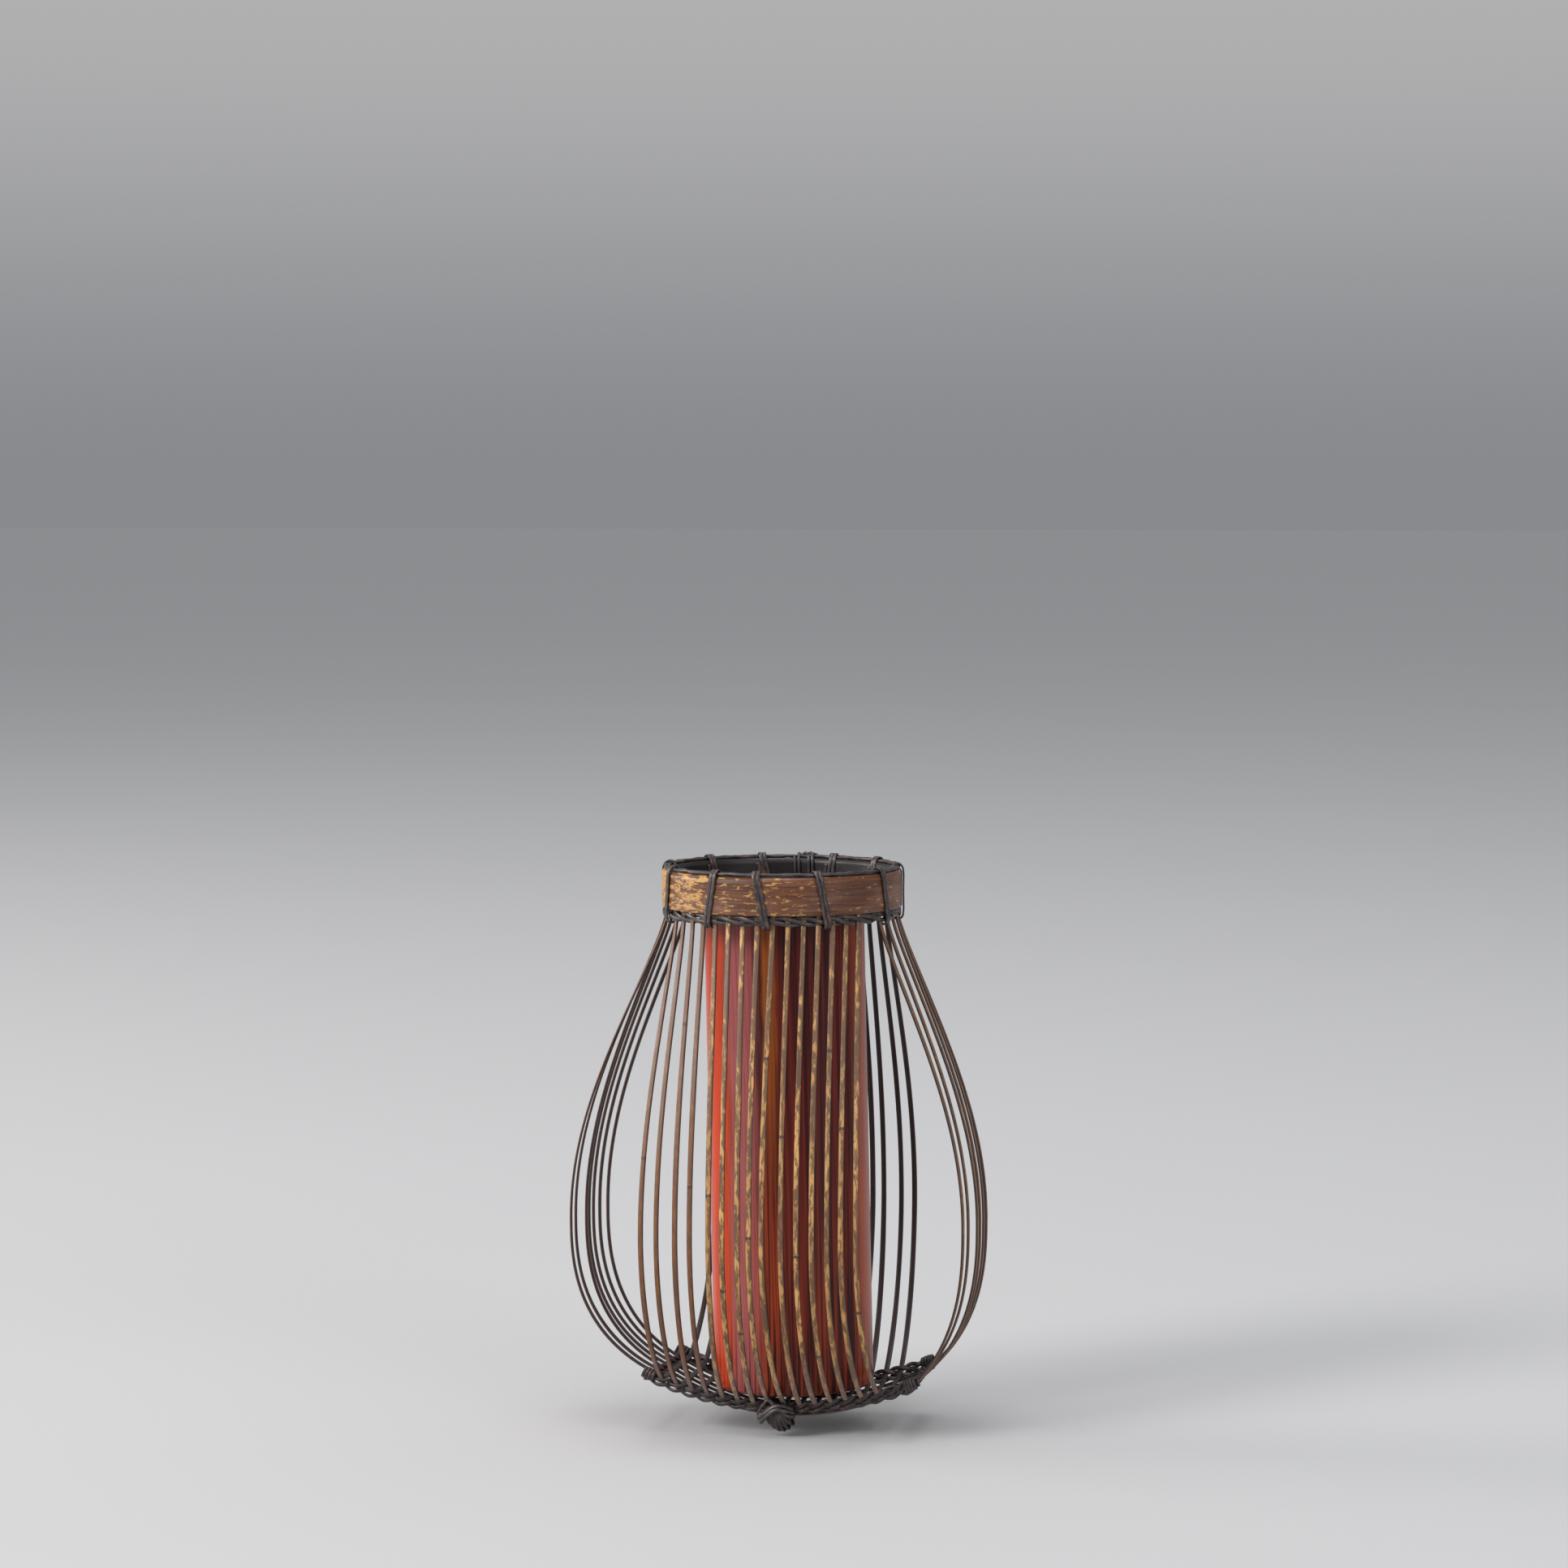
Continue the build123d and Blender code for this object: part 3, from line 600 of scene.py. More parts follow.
def swellShare(depth):
    # Nothing to the bend's start, a parabola to its end, then a quarter of a sine wave to the belly
    bend = cage["neckSwell"] * ((depth - cage["bendStart"]) / (cage["bendEnd"] - cage["bendStart"])) ** 2
    share = np.maximum(depth - cage["bendEnd"], 0) / (cage["bellyDepth"] - cage["bendEnd"])
    wave = lerp(cage["neckSwell"], 1, np.sin(pi / 2 * share ** cage["swellPower"]))
    return np.where(depth <= cage["bendStart"], 0, np.where(depth < cage["bendEnd"], bend, wave))


def stripEnd(angle, main, side, reach, sway, edgeReach, edgeSide, edgeAt, power, flatSide):
    # One end of a strip from its tip in the rim to the base's edge, and the way across it
    turn = radians(angle)
    rimPlace = np.array([sin(turn), -cos(turn)]) * cage["rimRadius"]
    roundRim = np.array([cos(turn), sin(turn), 0])
    if roundRim[:2] @ side < 0:
        roundRim = -roundRim
    tipCount, bendCount, upperCount, lowerCount = cage["curveCounts"]
    depth = np.concatenate([
        np.linspace(cage["endDepth"], cage["bendStart"], tipCount)[:-1],
        np.linspace(cage["bendStart"], cage["bendEnd"], bendCount)[:-1],
        np.linspace(cage["bendEnd"], cage["bellyDepth"], upperCount),
    ])
    share = swellShare(depth)[:, None]
    upper = np.column_stack([lerp(rimPlace, main * reach + side * sway, share), depth])
    # The lower curve: (out / reach) to a power plus (down / span) to the same power is 1
    below = edgeAt - cage["bellyDepth"]
    ratio = (edgeReach / reach) ** power
    span = below / (1 - ratio) ** (1 / power)
    turns = np.linspace(0, np.arctan2((1 - ratio) ** 0.5, ratio**0.5), lowerCount)[1:]
    out = reach * np.cos(turns) ** (2 / power)
    down = span * np.sin(turns) ** (2 / power)
    sideBy = lerp(sway, edgeSide, (down / below) ** 2)
    lower = np.column_stack([np.outer(out, main) + np.outer(sideBy, side), cage["bellyDepth"] + down])
    places = np.vstack([upper, lower])
    turned = (places[:, 2] - cage["bendStart"]) / (edgeAt - cage["bendStart"])
    turned = np.clip(turned, 0, 1) ** cage["turnPower"]
    return places, unit(lerp(roundRim, flatSide, turned[:, None]))


stripProfile = np.array([
    (-0.91, -0.30), (-0.91, 0.20), (-0.76, 0.36), (-0.35, 0.41), (0.35, 0.41),
    (0.76, 0.36), (0.91, 0.20), (0.91, -0.30), (0.78, -0.40), (-0.78, -0.40),
])
# Split by hand: the width drifts by a few hundredths along the strip, in waves of a height and a rate
stripWidth = {"mean": 0.98, "waves": [(0.035, 9), (0.03, 23), (0.02, 61)]}
# How brown a strip is: the left ones, the most of the other front ones, and those of the sides
stripShade = {"leftBefore": -3, "left": 0.95, "most": 0.3, "side": 0.7}


def addStrip(name, halves, middle, middleAcross, shade):
    # Joins a strip's two ends through its places in the base
    path = np.vstack([halves[0][0], middle, halves[1][0][::-1]]) * [1, 1, -1]
    across = np.vstack([halves[0][1], middleAcross, halves[1][1][::-1]])
    ahead = unit(np.gradient(path, axis=0))
    out = np.cross(ahead, across)
    outwards = path - cage["insidePlace"]
    out = out * np.sign(np.sum(out * outwards, -1))[:, None]
    run = np.linspace(0, 1, len(path))
    width = np.full(len(path), stripWidth["mean"])
    starts = chance.uniform(0, 2 * pi, len(stripWidth["waves"]))
    for (height, rate), start in zip(stripWidth["waves"], starts):
        width = width + height * np.sin(rate * run + start)
    shell = sweepShell(path, out, stripProfile, shade, swell=width)
    addPiece(f"strip_{name}", [shell], "strip_bamboo", [name])


eachSide = cage["frontBackEachSide"]
for index in range(-eachSide, eachSide + 1):
    side = np.array([1.0, 0.0])
    baseX = cage["baseMiddle"] + cage["baseSpacing"] * index
    reach = cage["frontReach"] - cage["frontReachDrop"] * (index / eachSide) ** 2
    edgeAt = baseDepth(baseX, cage["baseHalf"]) - cage["layer"]
    flatSide = baseAcross(baseX, cage["baseHalf"], side)
    halves = []
    for front in (True, False):
        sway = cage["bellySpacing"] * (index + (frontSway if front else backSway)[index + eachSide])
        angle = cage["stripAngle"] * index if front else 180 - cage["stripAngle"] * index
        main = np.array([0.0, -1.0 if front else 1.0])
        halves.append(stripEnd(
            angle, main, side, reach, sway, cage["baseHalf"], baseX, edgeAt, cage["frontPower"], flatSide
        ))
    y = np.linspace(-cage["baseHalf"], cage["baseHalf"], cage["frontBackCount"])[1:-1]
    middle = np.column_stack([0 * y + baseX, y, baseDepth(baseX, y) - cage["layer"]])
    isLeft = index < stripShade["leftBefore"]
    shade = stripShade["left"] if isLeft else chance.uniform(0.0, stripShade["most"])
    name = f"front_back_strip_{index + eachSide + 1:02d}"
    addStrip(name, halves, middle, baseAcross(baseX, y, side), shade)

eachSide = cage["sideEachSide"]
for index in range(-eachSide, eachSide + 1):
    side = np.array([0.0, 1.0])
    y = cage["sideSpacing"] * index
    halves = []
    for mainX in (-1, 1):
        reach = cage["sideReach"] * (leftReach if mainX < 0 else rightReach)[index + eachSide]
        angle = mainX * (90 + cage["stripAngle"] * index)
        edgeX = baseEnd(mainX, y)
        edgeAt = baseDepth(edgeX, y) + cage["layer"]
        flatSide = baseAcross(edgeX, y, side)
        halves.append(stripEnd(
            angle, np.array([mainX, 0.0]), side, reach, y, abs(edgeX), y, edgeAt, cage["sidePower"], flatSide
        ))
    x = np.linspace(baseEnd(-1, y), baseEnd(1, y), cage["sideCount"])[1:-1]
    middle = np.column_stack([x, 0 * x + y, baseDepth(x, y) + cage["layer"]])
    name = f"side_strip_{index + eachSide + 1}"
    addStrip(name, halves, middle, baseAcross(x, y, side), stripShade["side"])
print("strips made")

# Rim

hoopPiece = {
    # Each hoop's section as (radius, height)
    "outer": [
        (40.35, -13.3), (41.2, -13.3), (41.6, -12.9), (41.6, -1.4), (41.35, -0.95), (40.7, 0.0), (40.35, 0.0),
    ],
    "inner": [(38.0, -12.5), (38.0, 0.0), (38.95, 0.0), (39.35, -0.4), (39.35, -12.1), (38.95, -12.5)],
    "middleRadii": {"outer": 40.95, "inner": 38.7},
    "middleDepth": 6.6,
    "widestGap": 1.6,
    "steps": 288,
    # How much gold shows through the smoke, at angles round the rim
    "bareAngles": [0, 20, 34, 60, 90, 150, 210, 266, 298, 302, 318, 332, 336, 360],
    "bareShares": [0.35, 0.25, 0.2, 0.1, 0.2, 0.4, 0.2, 0.8, 1.0, 0.3, 0.7, 0.55, 0.3, 0.35],
}


def ringShell(radius, section, steps, shade, rise):
    # A section (outwards, upwards from the ring's line) carried round the rim, at the height that rise gives
    turn = anglesRound(steps)
    out = np.column_stack([np.sin(turn), -np.cos(turn), 0 * turn])
    path = out * radius + np.outer(rise(turn), [0, 0, 1])
    profile = np.asarray([(up, outBy) for outBy, up in section], float)
    return sweepShell(path, out, profile, shade, closed=True)


def dense(section, most):
    # Adds places along a section's long sides, so that its colours have somewhere to change
    made = []
    for (x0, y0), (x1, y1) in zip(section, section[1:] + section[:1]):
        count = max(1, int(np.hypot(x1 - x0, y1 - y0) / most))
        made += [(lerp(x0, x1, k / count), lerp(y0, y1, k / count)) for k in range(count)]
    return made


steps = hoopPiece["steps"]
goldTurn = np.degrees(2 * pi * np.arange(steps + 1) / steps)
gold = np.interp(goldTurn, hoopPiece["bareAngles"], hoopPiece["bareShares"])
for key, middle in hoopPiece["middleRadii"].items():
    section = dense(hoopPiece[key], hoopPiece["widestGap"])
    section = [(radius - middle, z + hoopPiece["middleDepth"]) for radius, z in section]
    shade = gold if key == "outer" else 0.0
    shell = ringShell(middle, section, steps, shade, lambda turn: 0 * turn - hoopPiece["middleDepth"])
    addPiece(f"rim_{key}", [shell], "hoop_bamboo", [f"{key}_hoop"])

# Capping: two strands on top of the strip ends, each a little wavy
capping = {
    # Each strand's radius and where its waves start
    "strands": {"outer": (40.42, 0.0), "inner": (39.27, 1.9)},
    "cane": 1.1,
    "lift": 0.62,
    # Each wave's height, its count round the rim and its share of the start
    "waves": [(0.1, 23, 1), (0.06, 41, 2)],
    "steps": 288,
    "shade": 0.3,
}
for key, (radius, start) in capping["strands"].items():
    def ripple(turn, start=start):
        waves = [height * np.sin(count * turn + share * start) for height, count, share in capping["waves"]]
        return capping["lift"] + sum(waves)
    profile = oval(capping["cane"], capping["cane"])
    shell = ringShell(radius, profile, capping["steps"], capping["shade"], ripple)
    addPiece(f"capping_{key}", [shell], "dark_cane", [f"capping_cane_{key}"])
print("rim made")

# Twining: strands that turn round each other, half a turn for every strip of the base

twining = {
    "outBy": 0.92,
    "acrossBy": 0.74,
    "width": 1.5,
    "thickness": 0.78,
    "corners": 12,
    "neckRadius": 40.1,
    "neckDepth": 15.1,
    "neckTurns": 11,
    "neckStrands": 3,
    "neckSpread": 1.55,
    "neckShade": 0.5,
    "neckSteps": 720,
    "edgeTilt": 1.55,
    "sideTilt": 1.0,
    "pastEnds": 1.6,
    "sideHalf": 19.0,
    "edgeSteps": 340,
    "sideSteps": 200,
    # The second row's distance inwards and outwards from the first, and both rows' shades
    "edgeSecond": (2.3, 0.25),
    "sideSecond": (2.2, 0.1),
    "edgeShades": (0.5, 0.6),
    "sideShades": (0.3, 0.3),
}


def twined(places, out, across, phase, shade, closed=False, strands=2, spread=1.0):
    shells = []
    for start in anglesRound(strands):
        lift = np.sin(phase + start)[:, None] * twining["outBy"]
        drift = np.cos(phase + start)[:, None] * twining["acrossBy"] * spread
        path = places + out * lift + across * drift
        profile = oval(twining["width"], twining["thickness"], twining["corners"])
        shells.append(sweepShell(path, out, profile, shade, closed=closed))
    return shells


turn = anglesRound(twining["neckSteps"])
out = np.column_stack([np.sin(turn), -np.cos(turn), 0 * turn])
upright = np.broadcast_to([0.0, 0.0, 1.0], out.shape)
places = out * twining["neckRadius"] - upright * twining["neckDepth"]
neck = twined(
    places, out, upright, twining["neckTurns"] * turn, twining["neckShade"],
    closed=True, strands=twining["neckStrands"], spread=twining["neckSpread"],
)
addPiece("neck_twining", neck, "dark_cane", ["neck_cane_outer", "neck_cane_inner"])


def waysOff(along, inward):
    # The ways outwards and inwards from a line of the base, both square to it
    inward = unit(np.broadcast_to(inward, along.shape))
    outward = unit(np.cross(along, inward))
    outward = outward * -np.sign(outward[:, 2:])
    return outward, inward - along * np.sum(inward * along, -1, keepdims=True)


def edgeLine(front, x):
    # The front or back edge of the base, with its outward way and the strips' way across it
    main = -1.0 if front else 1.0
    places = np.column_stack([x, 0 * x + main * cage["baseHalf"], -edgeDepth(x)])
    slope = -2 * cage["edgeSag"] * (x - edgeMiddle) / edgeHalf**2
    along = unit(np.column_stack([1 + 0 * x, 0 * x, -slope]))
    return places, *waysOff(along, [0.0, -main, -twining["edgeTilt"]])


def sideLine(side, y):
    x = baseEnd(side, y)
    places = np.column_stack([x, y, -(baseDepth(x, y) + cage["layer"])])
    along = unit(np.gradient(places, axis=0))
    return places, *waysOff(along, [-float(side), 0.0, -twining["sideTilt"]])


def addBaseTwining(name, line, phase, second, shades):
    # Two rows side by side, the second half a turn on
    places, outward, inward = line
    shells = twined(places, outward, inward, phase, shades[0])
    places = places + inward * second[0] + outward * second[1]
    shells += twined(places, outward, inward, phase + pi, shades[1])
    nodes = [f"base_cane_{name}_{row}" for row in ("outer", "inner")]
    addPiece(f"base_twining_{name}", shells, "dark_cane", nodes)


for front, name in ((True, "front"), (False, "back")):
    end = 0 if front else 1
    leftEnd = cage["leftEnds"][end] - twining["pastEnds"]
    rightEnd = cage["rightEnds"][end] + twining["pastEnds"]
    x = np.linspace(leftEnd, rightEnd, twining["edgeSteps"])
    phase = pi * (x - cage["baseMiddle"]) / cage["baseSpacing"] + pi / 2
    addBaseTwining(name, edgeLine(front, x), phase, twining["edgeSecond"], twining["edgeShades"])

for side, name in ((-1, "left"), (1, "right")):
    y = np.linspace(-twining["sideHalf"], twining["sideHalf"], twining["sideSteps"])
    phase = pi * y / cage["sideSpacing"] + pi / 2
    addBaseTwining(name, sideLine(side, y), phase, twining["sideSecond"], twining["sideShades"])
print("twining made")

# Rim lashings: doubled flat cane over the rim, leaning towards the middle of the front

# Places (radius, depth) that every winding of the rim goes through, from low on the inside
overRim = [(37.6, 15.6), (37.6, 8.0), (37.6, 1.4), (38.3, -1.0), (39.85, -1.75), (41.4, -0.8)]
underRim = [(39.9, 17.9), (38.4, 17.2)]
lashing = {
    "angles": [3.75, 33.4, 71.5, 101.1, 139.2, 168.9, 198.6, 228.3, 266.4, 300.0, 334.1],
    "width": 1.35,
    "thickness": 0.6,
    "pitch": 1.4,
    "corners": 12,
    "turns": 2,
    "slant": 2.8,
    "steps": 8,
    "overlap": 3,
    "shades": (0.4, 1.0),
    "bandFoot": 16.0,
    "bandDepth": 15.0,
    "middleDepth": 8.0,
    "round": [*overRim, (42.0, 1.6), (42.0, 8.0), (42.05, 14.6), (41.6, 17.1), *underRim],
}


def windRound(angle, loop, turns, pitch, slant, overlap):
    # Winds a loop of (radius, depth) places round the rim at an angle, drifting sideways as it goes
    angle = radians(angle)
    out = np.array([sin(angle), -cos(angle), 0.0])
    beside = np.array([cos(angle), sin(angle), 0.0])
    loop = np.asarray(loop, float)
    count = len(loop)
    picked = np.arange(count * turns + overlap)
    curve = smoothThrough(np.column_stack([loop[picked % count], picked / count]), lashing["steps"], False)
    radius, depth, turn = curve.T
    lift = np.clip((lashing["bandFoot"] - depth) / lashing["bandDepth"], 0, 1)
    drift = pitch * (turn - turns / 2) + slant * lift
    path = radius[:, None] * out + drift[:, None] * beside - np.column_stack([0 * depth, 0 * depth, depth])
    middle = out * loop[:, 0].mean() - np.array([0, 0, lashing["middleDepth"]])
    flatOut = path - middle
    flatOut = flatOut - np.outer(flatOut @ beside, beside)
    # The flat side faces away from the middle of the loop, across the way the cane runs
    ahead = unit(np.gradient(path, axis=0))
    face = unit(np.cross(ahead, beside))
    face = face * np.sign(np.sum(face * flatOut, -1))[:, None]
    return path, face


for number, angle in enumerate(lashing["angles"], start=1):
    slant = -lashing["slant"] if angle < 180 else lashing["slant"]
    path, face = windRound(
        angle, lashing["round"], lashing["turns"], lashing["pitch"], slant, lashing["overlap"]
    )
    profile = oval(lashing["width"], lashing["thickness"], lashing["corners"])
    shells = [sweepShell(path, face, profile, chance.uniform(*lashing["shades"]))]
    addPiece(f"lashing_{number:02d}", shells, "dark_cane", [f"rim_lashing_{number:02d}"])
print("rim lashings made")

# Corner lashings: flat cane wound round the ends of the twining

corner = {
    "turns": 4,
    "pitch": 1.15,
    "halfAcross": 2.3,
    "halfOut": 1.75,
    "width": 1.1,
    "thickness": 0.6,
    "pastEnds": 0.4,
    "inBy": 0.4,
    "taper": 0.06,
    "stepsPerTurn": 24,
    "shade": 0.3,
}
for front in (True, False):
    for side in (-1, 1):
        ends = cage["leftEnds" if side < 0 else "rightEnds"]
        endX = ends[0 if front else 1] + side * corner["pastEnds"]
        places, outward, inward = [v[0] for v in edgeLine(front, np.array([endX]))]
        alongWay = np.cross(outward, inward)
        turn = 2 * pi * np.linspace(0, corner["turns"], corner["stepsPerTurn"] * corner["turns"] + 1)
        drift = corner["pitch"] * (turn / (2 * pi) - corner["turns"] / 2)
        taper = 1 - corner["taper"] * abs(drift)[:, None]
        rings = np.outer(np.cos(turn), inward) * corner["halfAcross"]
        rings = rings + np.outer(np.sin(turn), outward) * corner["halfOut"]
        path = places + inward * corner["inBy"] + rings * taper + np.outer(drift, alongWay)
        profile = oval(corner["width"], corner["thickness"])
        name = f"{'front' if front else 'back'}_{'left' if side < 0 else 'right'}"
        shells = [sweepShell(path, unit(rings), profile, corner["shade"])]
        addPiece(f"corner_{name}", shells, "dark_cane", [f"corner_lashing_{name}"])

# Front knot: loops that fan out downwards to the right, bound by strands that cross them at the top

knot = {
    "loops": 6,
    "topMiddle": 1.6,
    "topStep": 0.75,
    "lowMiddle": 4.9,
    "lowStep": 1.5,
    "middle": (-22.9, -187.0),
    "halfOut": 3.55,
    "stagger": 0.12,
    "halfUp": 5.4,
    # The outer loops hang less low, so that the knot ends in a round
    "rounding": 0.36,
    "steps": 64,
    "width": 1.3,
    "thickness": 0.6,
    "shades": (0.2, 0.3, 0.4),
    "crossings": [
        [(-3.4, -24.6, -186.4), (-1.8, -26.4, -184.0), (0.6, -26.6, -181.0), (2.6, -27.0, -182.4),
         (5.0, -27.2, -184.8), (7.6, -26.4, -186.6), (9.6, -24.2, -187.0)],
        [(8.9, -24.4, -184.4), (6.0, -26.9, -183.0), (3.0, -27.4, -183.2), (0.0, -27.2, -185.4),
         (-2.4, -26.2, -187.4), (-3.4, -24.2, -188.2)],
        [(9.4, -24.4, -185.6), (6.4, -27.2, -184.6), (3.2, -27.8, -184.4), (0.4, -27.6, -186.6),
         (-1.6, -26.4, -188.8), (-2.4, -24.6, -189.6)],
    ],
    "crossWidth": 1.4,
    "crossThickness": 0.7,
    "crossSteps": 10,
    "crossShade": 0.3,
    "insidePlace": (2.9, -21.0, -187.0),
}
shells = []
turn = anglesRound(knot["steps"])
lowShare = (1 - np.cos(turn)) / 2
for k in range(knot["loops"]):
    place = k - (knot["loops"] - 1) / 2
    topX = knot["topMiddle"] + knot["topStep"] * place
    lowX = knot["lowMiddle"] + knot["lowStep"] * place
    x = lerp(topX, lowX, lowShare)
    outBy = knot["halfOut"] + knot["stagger"] * (k % 2)
    y = knot["middle"][0] - outBy * np.sin(turn)
    fall = np.where(np.cos(turn) < 0, knot["rounding"] * place**2, 0.0)
    z = knot["middle"][1] + (knot["halfUp"] - fall) * np.cos(turn)
    path = np.column_stack([x, y, z])
    face = unit(np.column_stack([0 * x, y - knot["middle"][0], z - knot["middle"][1]]))
    profile = oval(knot["width"], knot["thickness"])
    shells.append(sweepShell(path, face, profile, knot["shades"][k % 3], closed=True))
for places in knot["crossings"]:
    path = smoothThrough(places, knot["crossSteps"], False)
    profile = oval(knot["crossWidth"], knot["crossThickness"])
    shells.append(sweepShell(path, unit(path - knot["insidePlace"]), profile, knot["crossShade"]))
addPiece("knot", shells, "dark_cane", ["front_knot"])

knotCore = {
    "place": (3.4, -23.7, -186.9),
    "halfLength": 4.6,
    "roundLength": 4.9,
    "roundPower": 4,
    "leastRound": 0.02,
    "thickness": 3.6,
    "corners": 16,
    "count": 15,
    "shade": 0.2,
}
across = np.linspace(-knotCore["halfLength"], knotCore["halfLength"], knotCore["count"])
girth = 1 - (across / knotCore["roundLength"]) ** knotCore["roundPower"]
girth = np.sqrt(np.maximum(girth, knotCore["leastRound"]))
path = np.outer(across, [1, 0, 0]) + knotCore["place"]
forwards = np.broadcast_to([0.0, -1.0, 0.0], path.shape)
profile = oval(knotCore["thickness"], knotCore["thickness"], knotCore["corners"], 1.0)
core = sweepShell(path, forwards, profile, knotCore["shade"], swell=girth)
addPiece("knot_core", [core], "dark_cane", ["front_knot_core"])
print("knots made")

# Hanging ring: a ring of two twisted canes, tied to the back of the rim

hanging = {
    "radius": 7.0,
    "twists": 11,
    "offset": 0.5,
    "cane": 1.05,
    "corners": 10,
    "steps": 220,
    "shade": 0.2,
    "tieAngles": {"right": 176.25, "left": 183.75},
    "tieWidth": 1.0,
    "tieThickness": 0.6,
    "tiePitch": 1.4,
    "tieOverlap": 4,
    "tie": [*overRim, (42.05, 1.6), (42.1, 6.5), (43.0, 9.4), (44.8, 10.6), (46.1, 12.4), (44.8, 14.3),
            (42.6, 16.6), *underRim],
}
turn = anglesRound(hanging["steps"])
out = np.column_stack([np.cos(turn), 0 * turn, np.sin(turn)])
backwards = np.broadcast_to([0.0, 1.0, 0.0], out.shape)
profile = oval(hanging["cane"], hanging["cane"], hanging["corners"], 1.0)
shells = []
for start in (0, pi):
    phase = hanging["twists"] * turn + start
    twist = out * np.cos(phase)[:, None] + backwards * np.sin(phase)[:, None]
    path = out * hanging["radius"] + twist * hanging["offset"] - frameShift
    shells.append(sweepShell(path, twist, profile, hanging["shade"], closed=True))
addPiece("ring", shells, "dark_cane", ["hanging_ring"])
for name, angle in hanging["tieAngles"].items():
    path, face = windRound(angle, hanging["tie"], 1, hanging["tiePitch"], 0.0, hanging["tieOverlap"])
    profile = oval(hanging["tieWidth"], hanging["tieThickness"])
    shells = [sweepShell(path, face, profile, hanging["shade"])]
    addPiece(f"ring_tie_{name}", shells, "dark_cane", [f"hanging_ring_tie_{name}"])
print("hanging ring made")

# Water tube: a culm, its foot hollow below the node's wall, a rounded lip

tube = {
    "radius": 28.0,
    "wall": 3.5,
    "height": 171.98,
    "foot": (4.3, 0.0, -179.98),
    "lean": -1.23,
    "recess": 8.0,
    "floor": 4.0,
    "fillet": 3.0,
    "steps": 160,
    # Places (radius, height), from the outside and the foot, from the outside and the lip, from the bore
    # and the lip, from the bore and the floor, and from the middle and the floor
    "footRound": [(-1.5, 0.0), (-0.5, 0.35), (0.0, 1.5)],
    "lipRound": [(0.0, -1.2), (-0.35, -0.3), (-1.2, 0.0)],
    "boreRound": [(0.9, 0.0), (0.2, -0.3)],
    "floorRound": [(-0.9, 0.9), (-3.0, 0.0)],
    "floorDish": [(12.0, -0.3), (0.02, -0.5)],
    "underRadii": [0.02, 12.0],
    "underHeight": 3.0,
    "wallFrom": 6.0,
    "wallToTop": 4.0,
    "wallCount": 34,
    "boreToTop": 1.5,
    "boreCount": 14,
    # A culm isn't quite round: two and three slow waves round it, with their heights and starts
    "waves": [(0.12, 2, 0.6), (0.08, 3, 0.0)],
    "inBy": 0.2,
}


def placesFrom(places, radius, height):
    return [(radius + out, height + up) for out, up in places]


def latheTube(settings):
    # The outline (radius, height) goes up the outside, over the lip, down the bore and under the floor
    r, bore, tall = settings["radius"], settings["radius"] - settings["wall"], settings["height"]
    recess, floorTop = settings["recess"], settings["recess"] + settings["floor"]
    wallHeights = np.linspace(settings["wallFrom"], tall - settings["wallToTop"], settings["wallCount"])
    boreHeights = np.linspace(
        tall - settings["boreToTop"], floorTop + settings["fillet"], settings["boreCount"]
    )
    outside = placesFrom(settings["footRound"], r, 0.0) + [(r, height) for height in wallHeights]
    lip = placesFrom(settings["lipRound"], r, tall) + placesFrom(settings["boreRound"], bore, tall)
    inside = [(bore, height) for height in boreHeights]
    floor = placesFrom(settings["floorRound"], bore, floorTop)
    floor += placesFrom(settings["floorDish"], 0.0, floorTop)
    under = [(radius, recess) for radius in (*settings["underRadii"], bore)]
    under += [(bore, settings["underHeight"]), (bore, 0.0)]
    outline = np.array(outside + lip + inside + floor + under)
    turn = 2 * pi * np.arange(settings["steps"] + 1) / settings["steps"]
    out = np.column_stack([np.sin(turn), -np.cos(turn)])
    rough = sum(height * np.sin(count * turn + start) for height, count, start in settings["waves"])
    radii = outline[:, 0][None] * (1 + (rough[:, None] - settings["inBy"]) / settings["radius"])
    flat = out[:, None] * radii[..., None]
    local = np.concatenate([flat, np.broadcast_to(outline[:, 1][None, :, None], (*radii.shape, 1))], -1)
    lean = radians(settings["lean"])
    turned = np.stack([
        local[..., 0] * cos(lean) + local[..., 2] * sin(lean),
        local[..., 1],
        local[..., 2] * cos(lean) - local[..., 0] * sin(lean),
    ], -1) + settings["foot"]
    lay = np.stack([local[..., 2], local[..., 0], local[..., 1]], -1)
    lay = np.concatenate([lay, lay[:, :1]], 1)
    isInside = np.zeros(len(outline))
    isInside[len(outside) + len(lip):] = 1.0
    shades = np.broadcast_to(np.append(isInside, 0.0)[None], lay.shape[:2])
    return {"points": turned[:-1], "lay": lay, "shade": shades, "closed": True}


addPiece("tube", [latheTube(tube)], "lacquered_culm", ["water_tube"], body="water_tube")
print("water tube made")

# Stage, light and camera

stageLook = {
    "constants": {"Roughness": 0.9, "Specular IOR Level": 0.1},
    "floor": -0.1885,
    "size": 60.0,
    "tone": tone(172, 172, 173),
    "softShare": 0.97,
    "grain": ((3.0, 3.0, 0.0), (0.0, 0.0, 0.0), 3.0, 0.5, 0.0),
    "background": tone(176, 176, 177),
    "horizon": tone(137, 138, 142),
    "toneRise": (0.0, 0.11),
    "ambient": (0.62, 0.63, 0.65, 1.0),
}


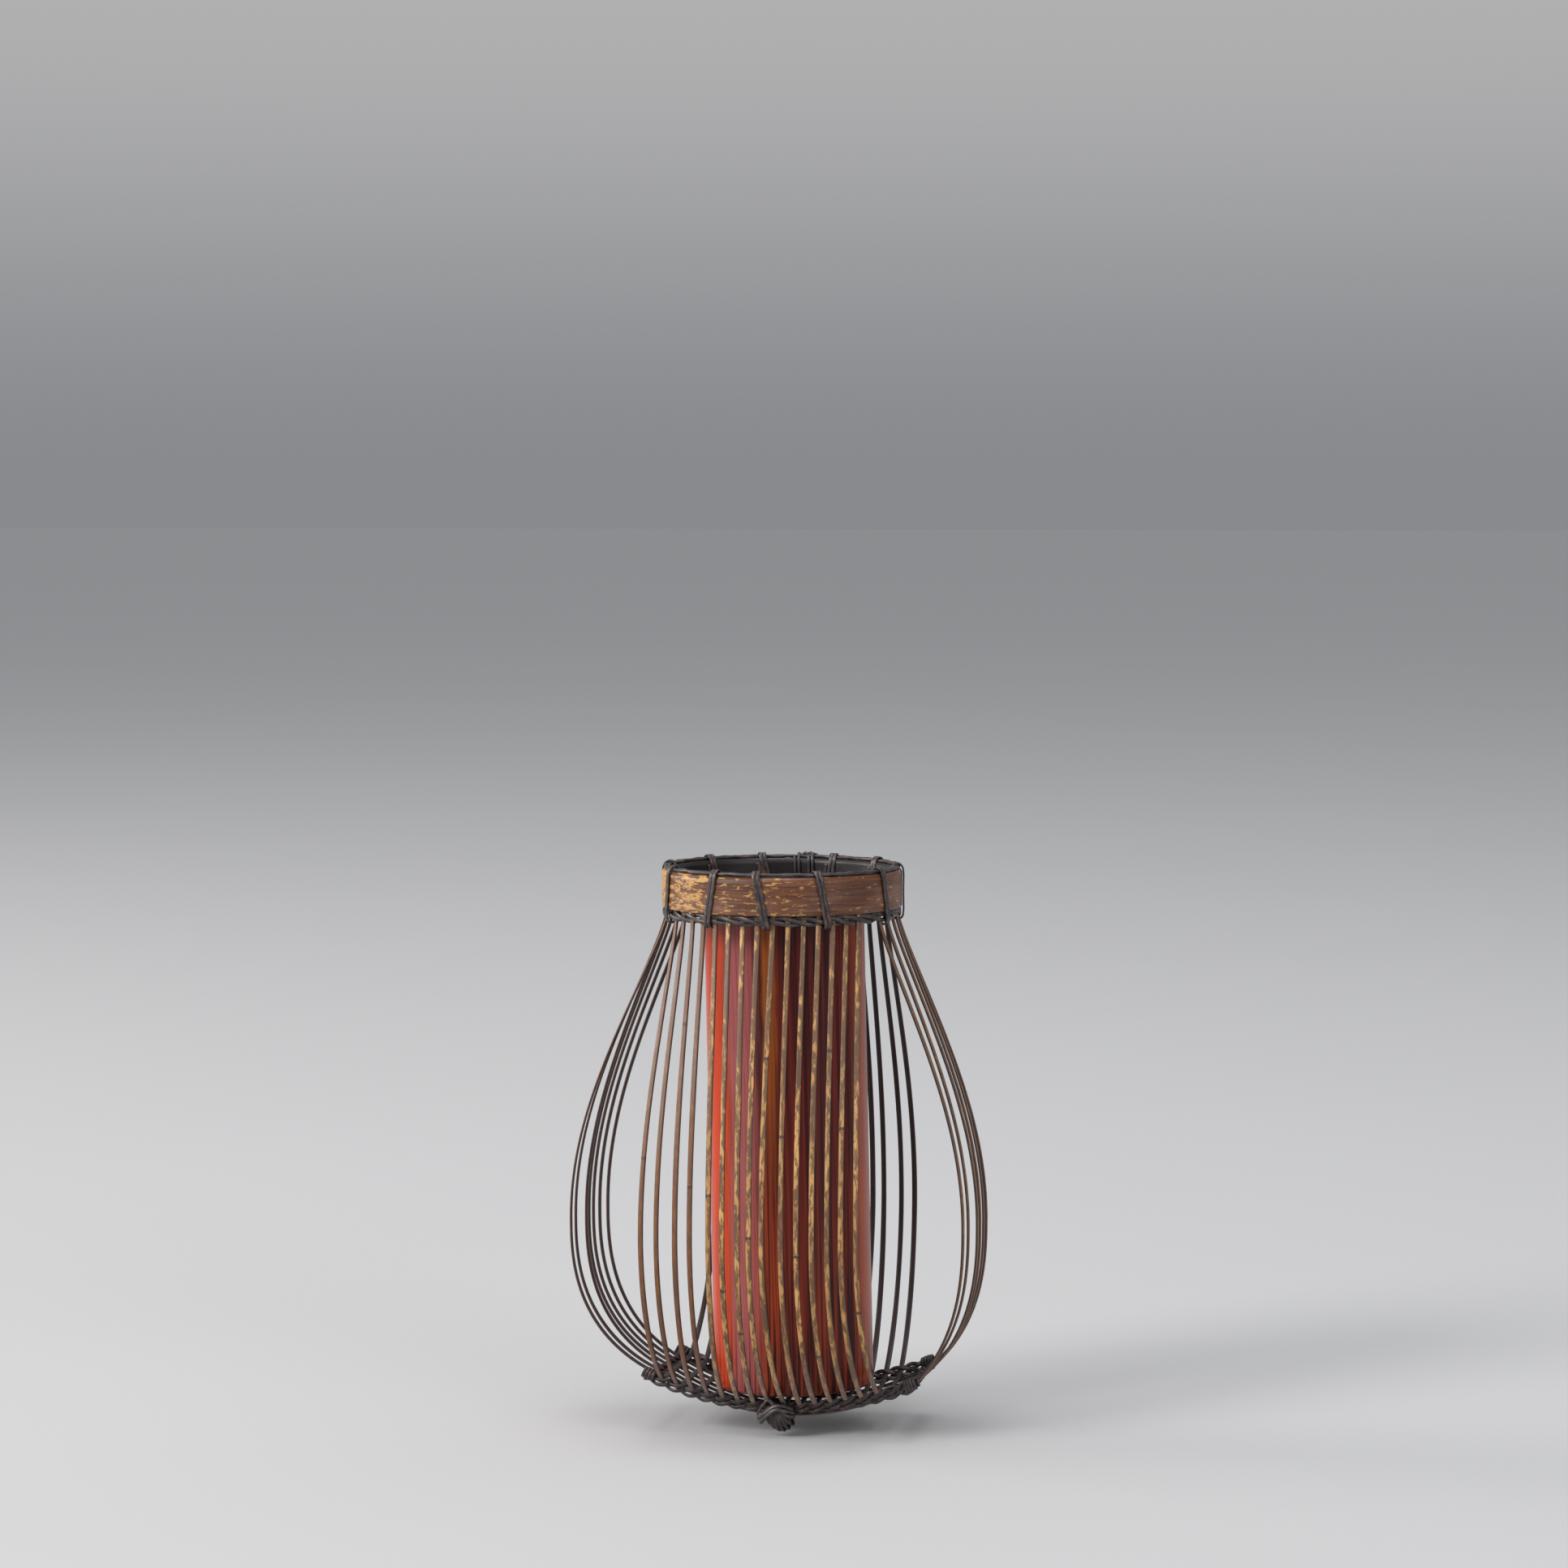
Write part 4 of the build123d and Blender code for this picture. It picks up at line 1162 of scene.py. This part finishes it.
def makeStage(settings):
    half = settings["size"] / 2
    mesh = bpy.data.meshes.new("floor")
    corners = [(-half, -half, 0), (half, -half, 0), (half, half, 0), (-half, half, 0)]
    mesh.from_pydata(corners, [], [(0, 1, 2, 3)])
    material, field, *_, join = newMaterial("floor_look", settings["constants"])
    place = field.make("ShaderNodeTexCoord", None, None, 3)
    soft = (*[settings["softShare"] * v for v in settings["tone"][:3]], 1.0)
    join("Base Color", place.grain(settings["grain"]).blend(settings["tone"], soft))
    mesh.materials.append(material)
    floor = addObject("floor", mesh)
    floor.location = (0, 0, settings["floor"])


def makeWorld(settings):
    world = bpy.data.worlds.new("studio")
    bpy.context.scene.world = world
    world.use_nodes = True
    tree = world.node_tree
    tree.nodes.clear()
    output = tree.nodes.new("ShaderNodeOutputWorld")
    field = Field(tree)
    rays = [field.make("ShaderNodeLightPath", None, None, name) for name in
            ("Is Camera Ray", "Is Glossy Ray", "Is Transmission Ray")]
    seen = rays[0] + rays[1] + rays[2]
    seen = field.maths("MINIMUM", seen, 1.0)
    # Behind the floor the camera sees a tone that meets the far floor's own at the horizon
    upwards = field.make("ShaderNodeTexCoord", None, None, 0).part(2)
    behind = upwards.step(*settings["toneRise"]).blend(settings["horizon"], settings["background"])
    colour = seen.blend(settings["ambient"], behind)
    shown = field.make("ShaderNodeBackground", None, {"Color": colour, "Strength": 1.0})
    tree.links.new(shown.socket, output.inputs[0])


lamps = {
    "key": {"place": (-2.6, -2.7, 2.0), "size": 1.6, "power": 150.0, "colour": (1.0, 0.985, 0.96)},
    "left": {"place": (-3.4, 0.2, 0.9), "size": 1.2, "power": 60.0, "colour": (1.0, 0.97, 0.93)},
    "fill": {"place": (3.2, -2.6, 1.2), "size": 2.4, "power": 40.0, "colour": (0.95, 0.97, 1.0)},
    "top": {"place": (0.2, -0.2, 3.2), "size": 1.8, "power": 50.0, "colour": (1.0, 1.0, 1.0)},
}
lampsAim = (0.0, -0.0445, -0.09)


def makeLamps(settings):
    for name, lamp in settings.items():
        data = bpy.data.lights.new(name, "AREA")
        data.shape = "DISK"
        data.size = lamp["size"]
        data.energy = lamp["power"]
        data.color = lamp["colour"]
        light = addObject(name, data)
        light.location = lamp["place"]
        way = np.array(lampsAim) - lamp["place"]
        light.rotation_mode = "QUATERNION"
        light.rotation_quaternion = Vector(way).to_track_quat("-Z", "Y")


view = {
    "place": (0.3254, -1.5722, 0.1386),
    "tilt": 86.2,
    "turn": 12.0,
    "lens": 103.98,
    "sensor": 36.0,
    "near": 0.01,
    "far": 50.0,
}


def makeCamera(settings):
    data = bpy.data.cameras.new("camera")
    data.sensor_width = settings["sensor"]
    data.lens = settings["lens"]
    data.clip_start, data.clip_end = settings["near"], settings["far"]
    camera = addObject("camera", data)
    camera.location = settings["place"]
    camera.rotation_euler = (radians(settings["tilt"]), 0, radians(settings["turn"]))
    bpy.context.scene.camera = camera


makeStage(stageLook)
makeWorld(stageLook)
makeLamps(lamps)
makeCamera(view)
bpy.context.scene.view_settings.view_transform = "Standard"
print("stage, light and camera made")
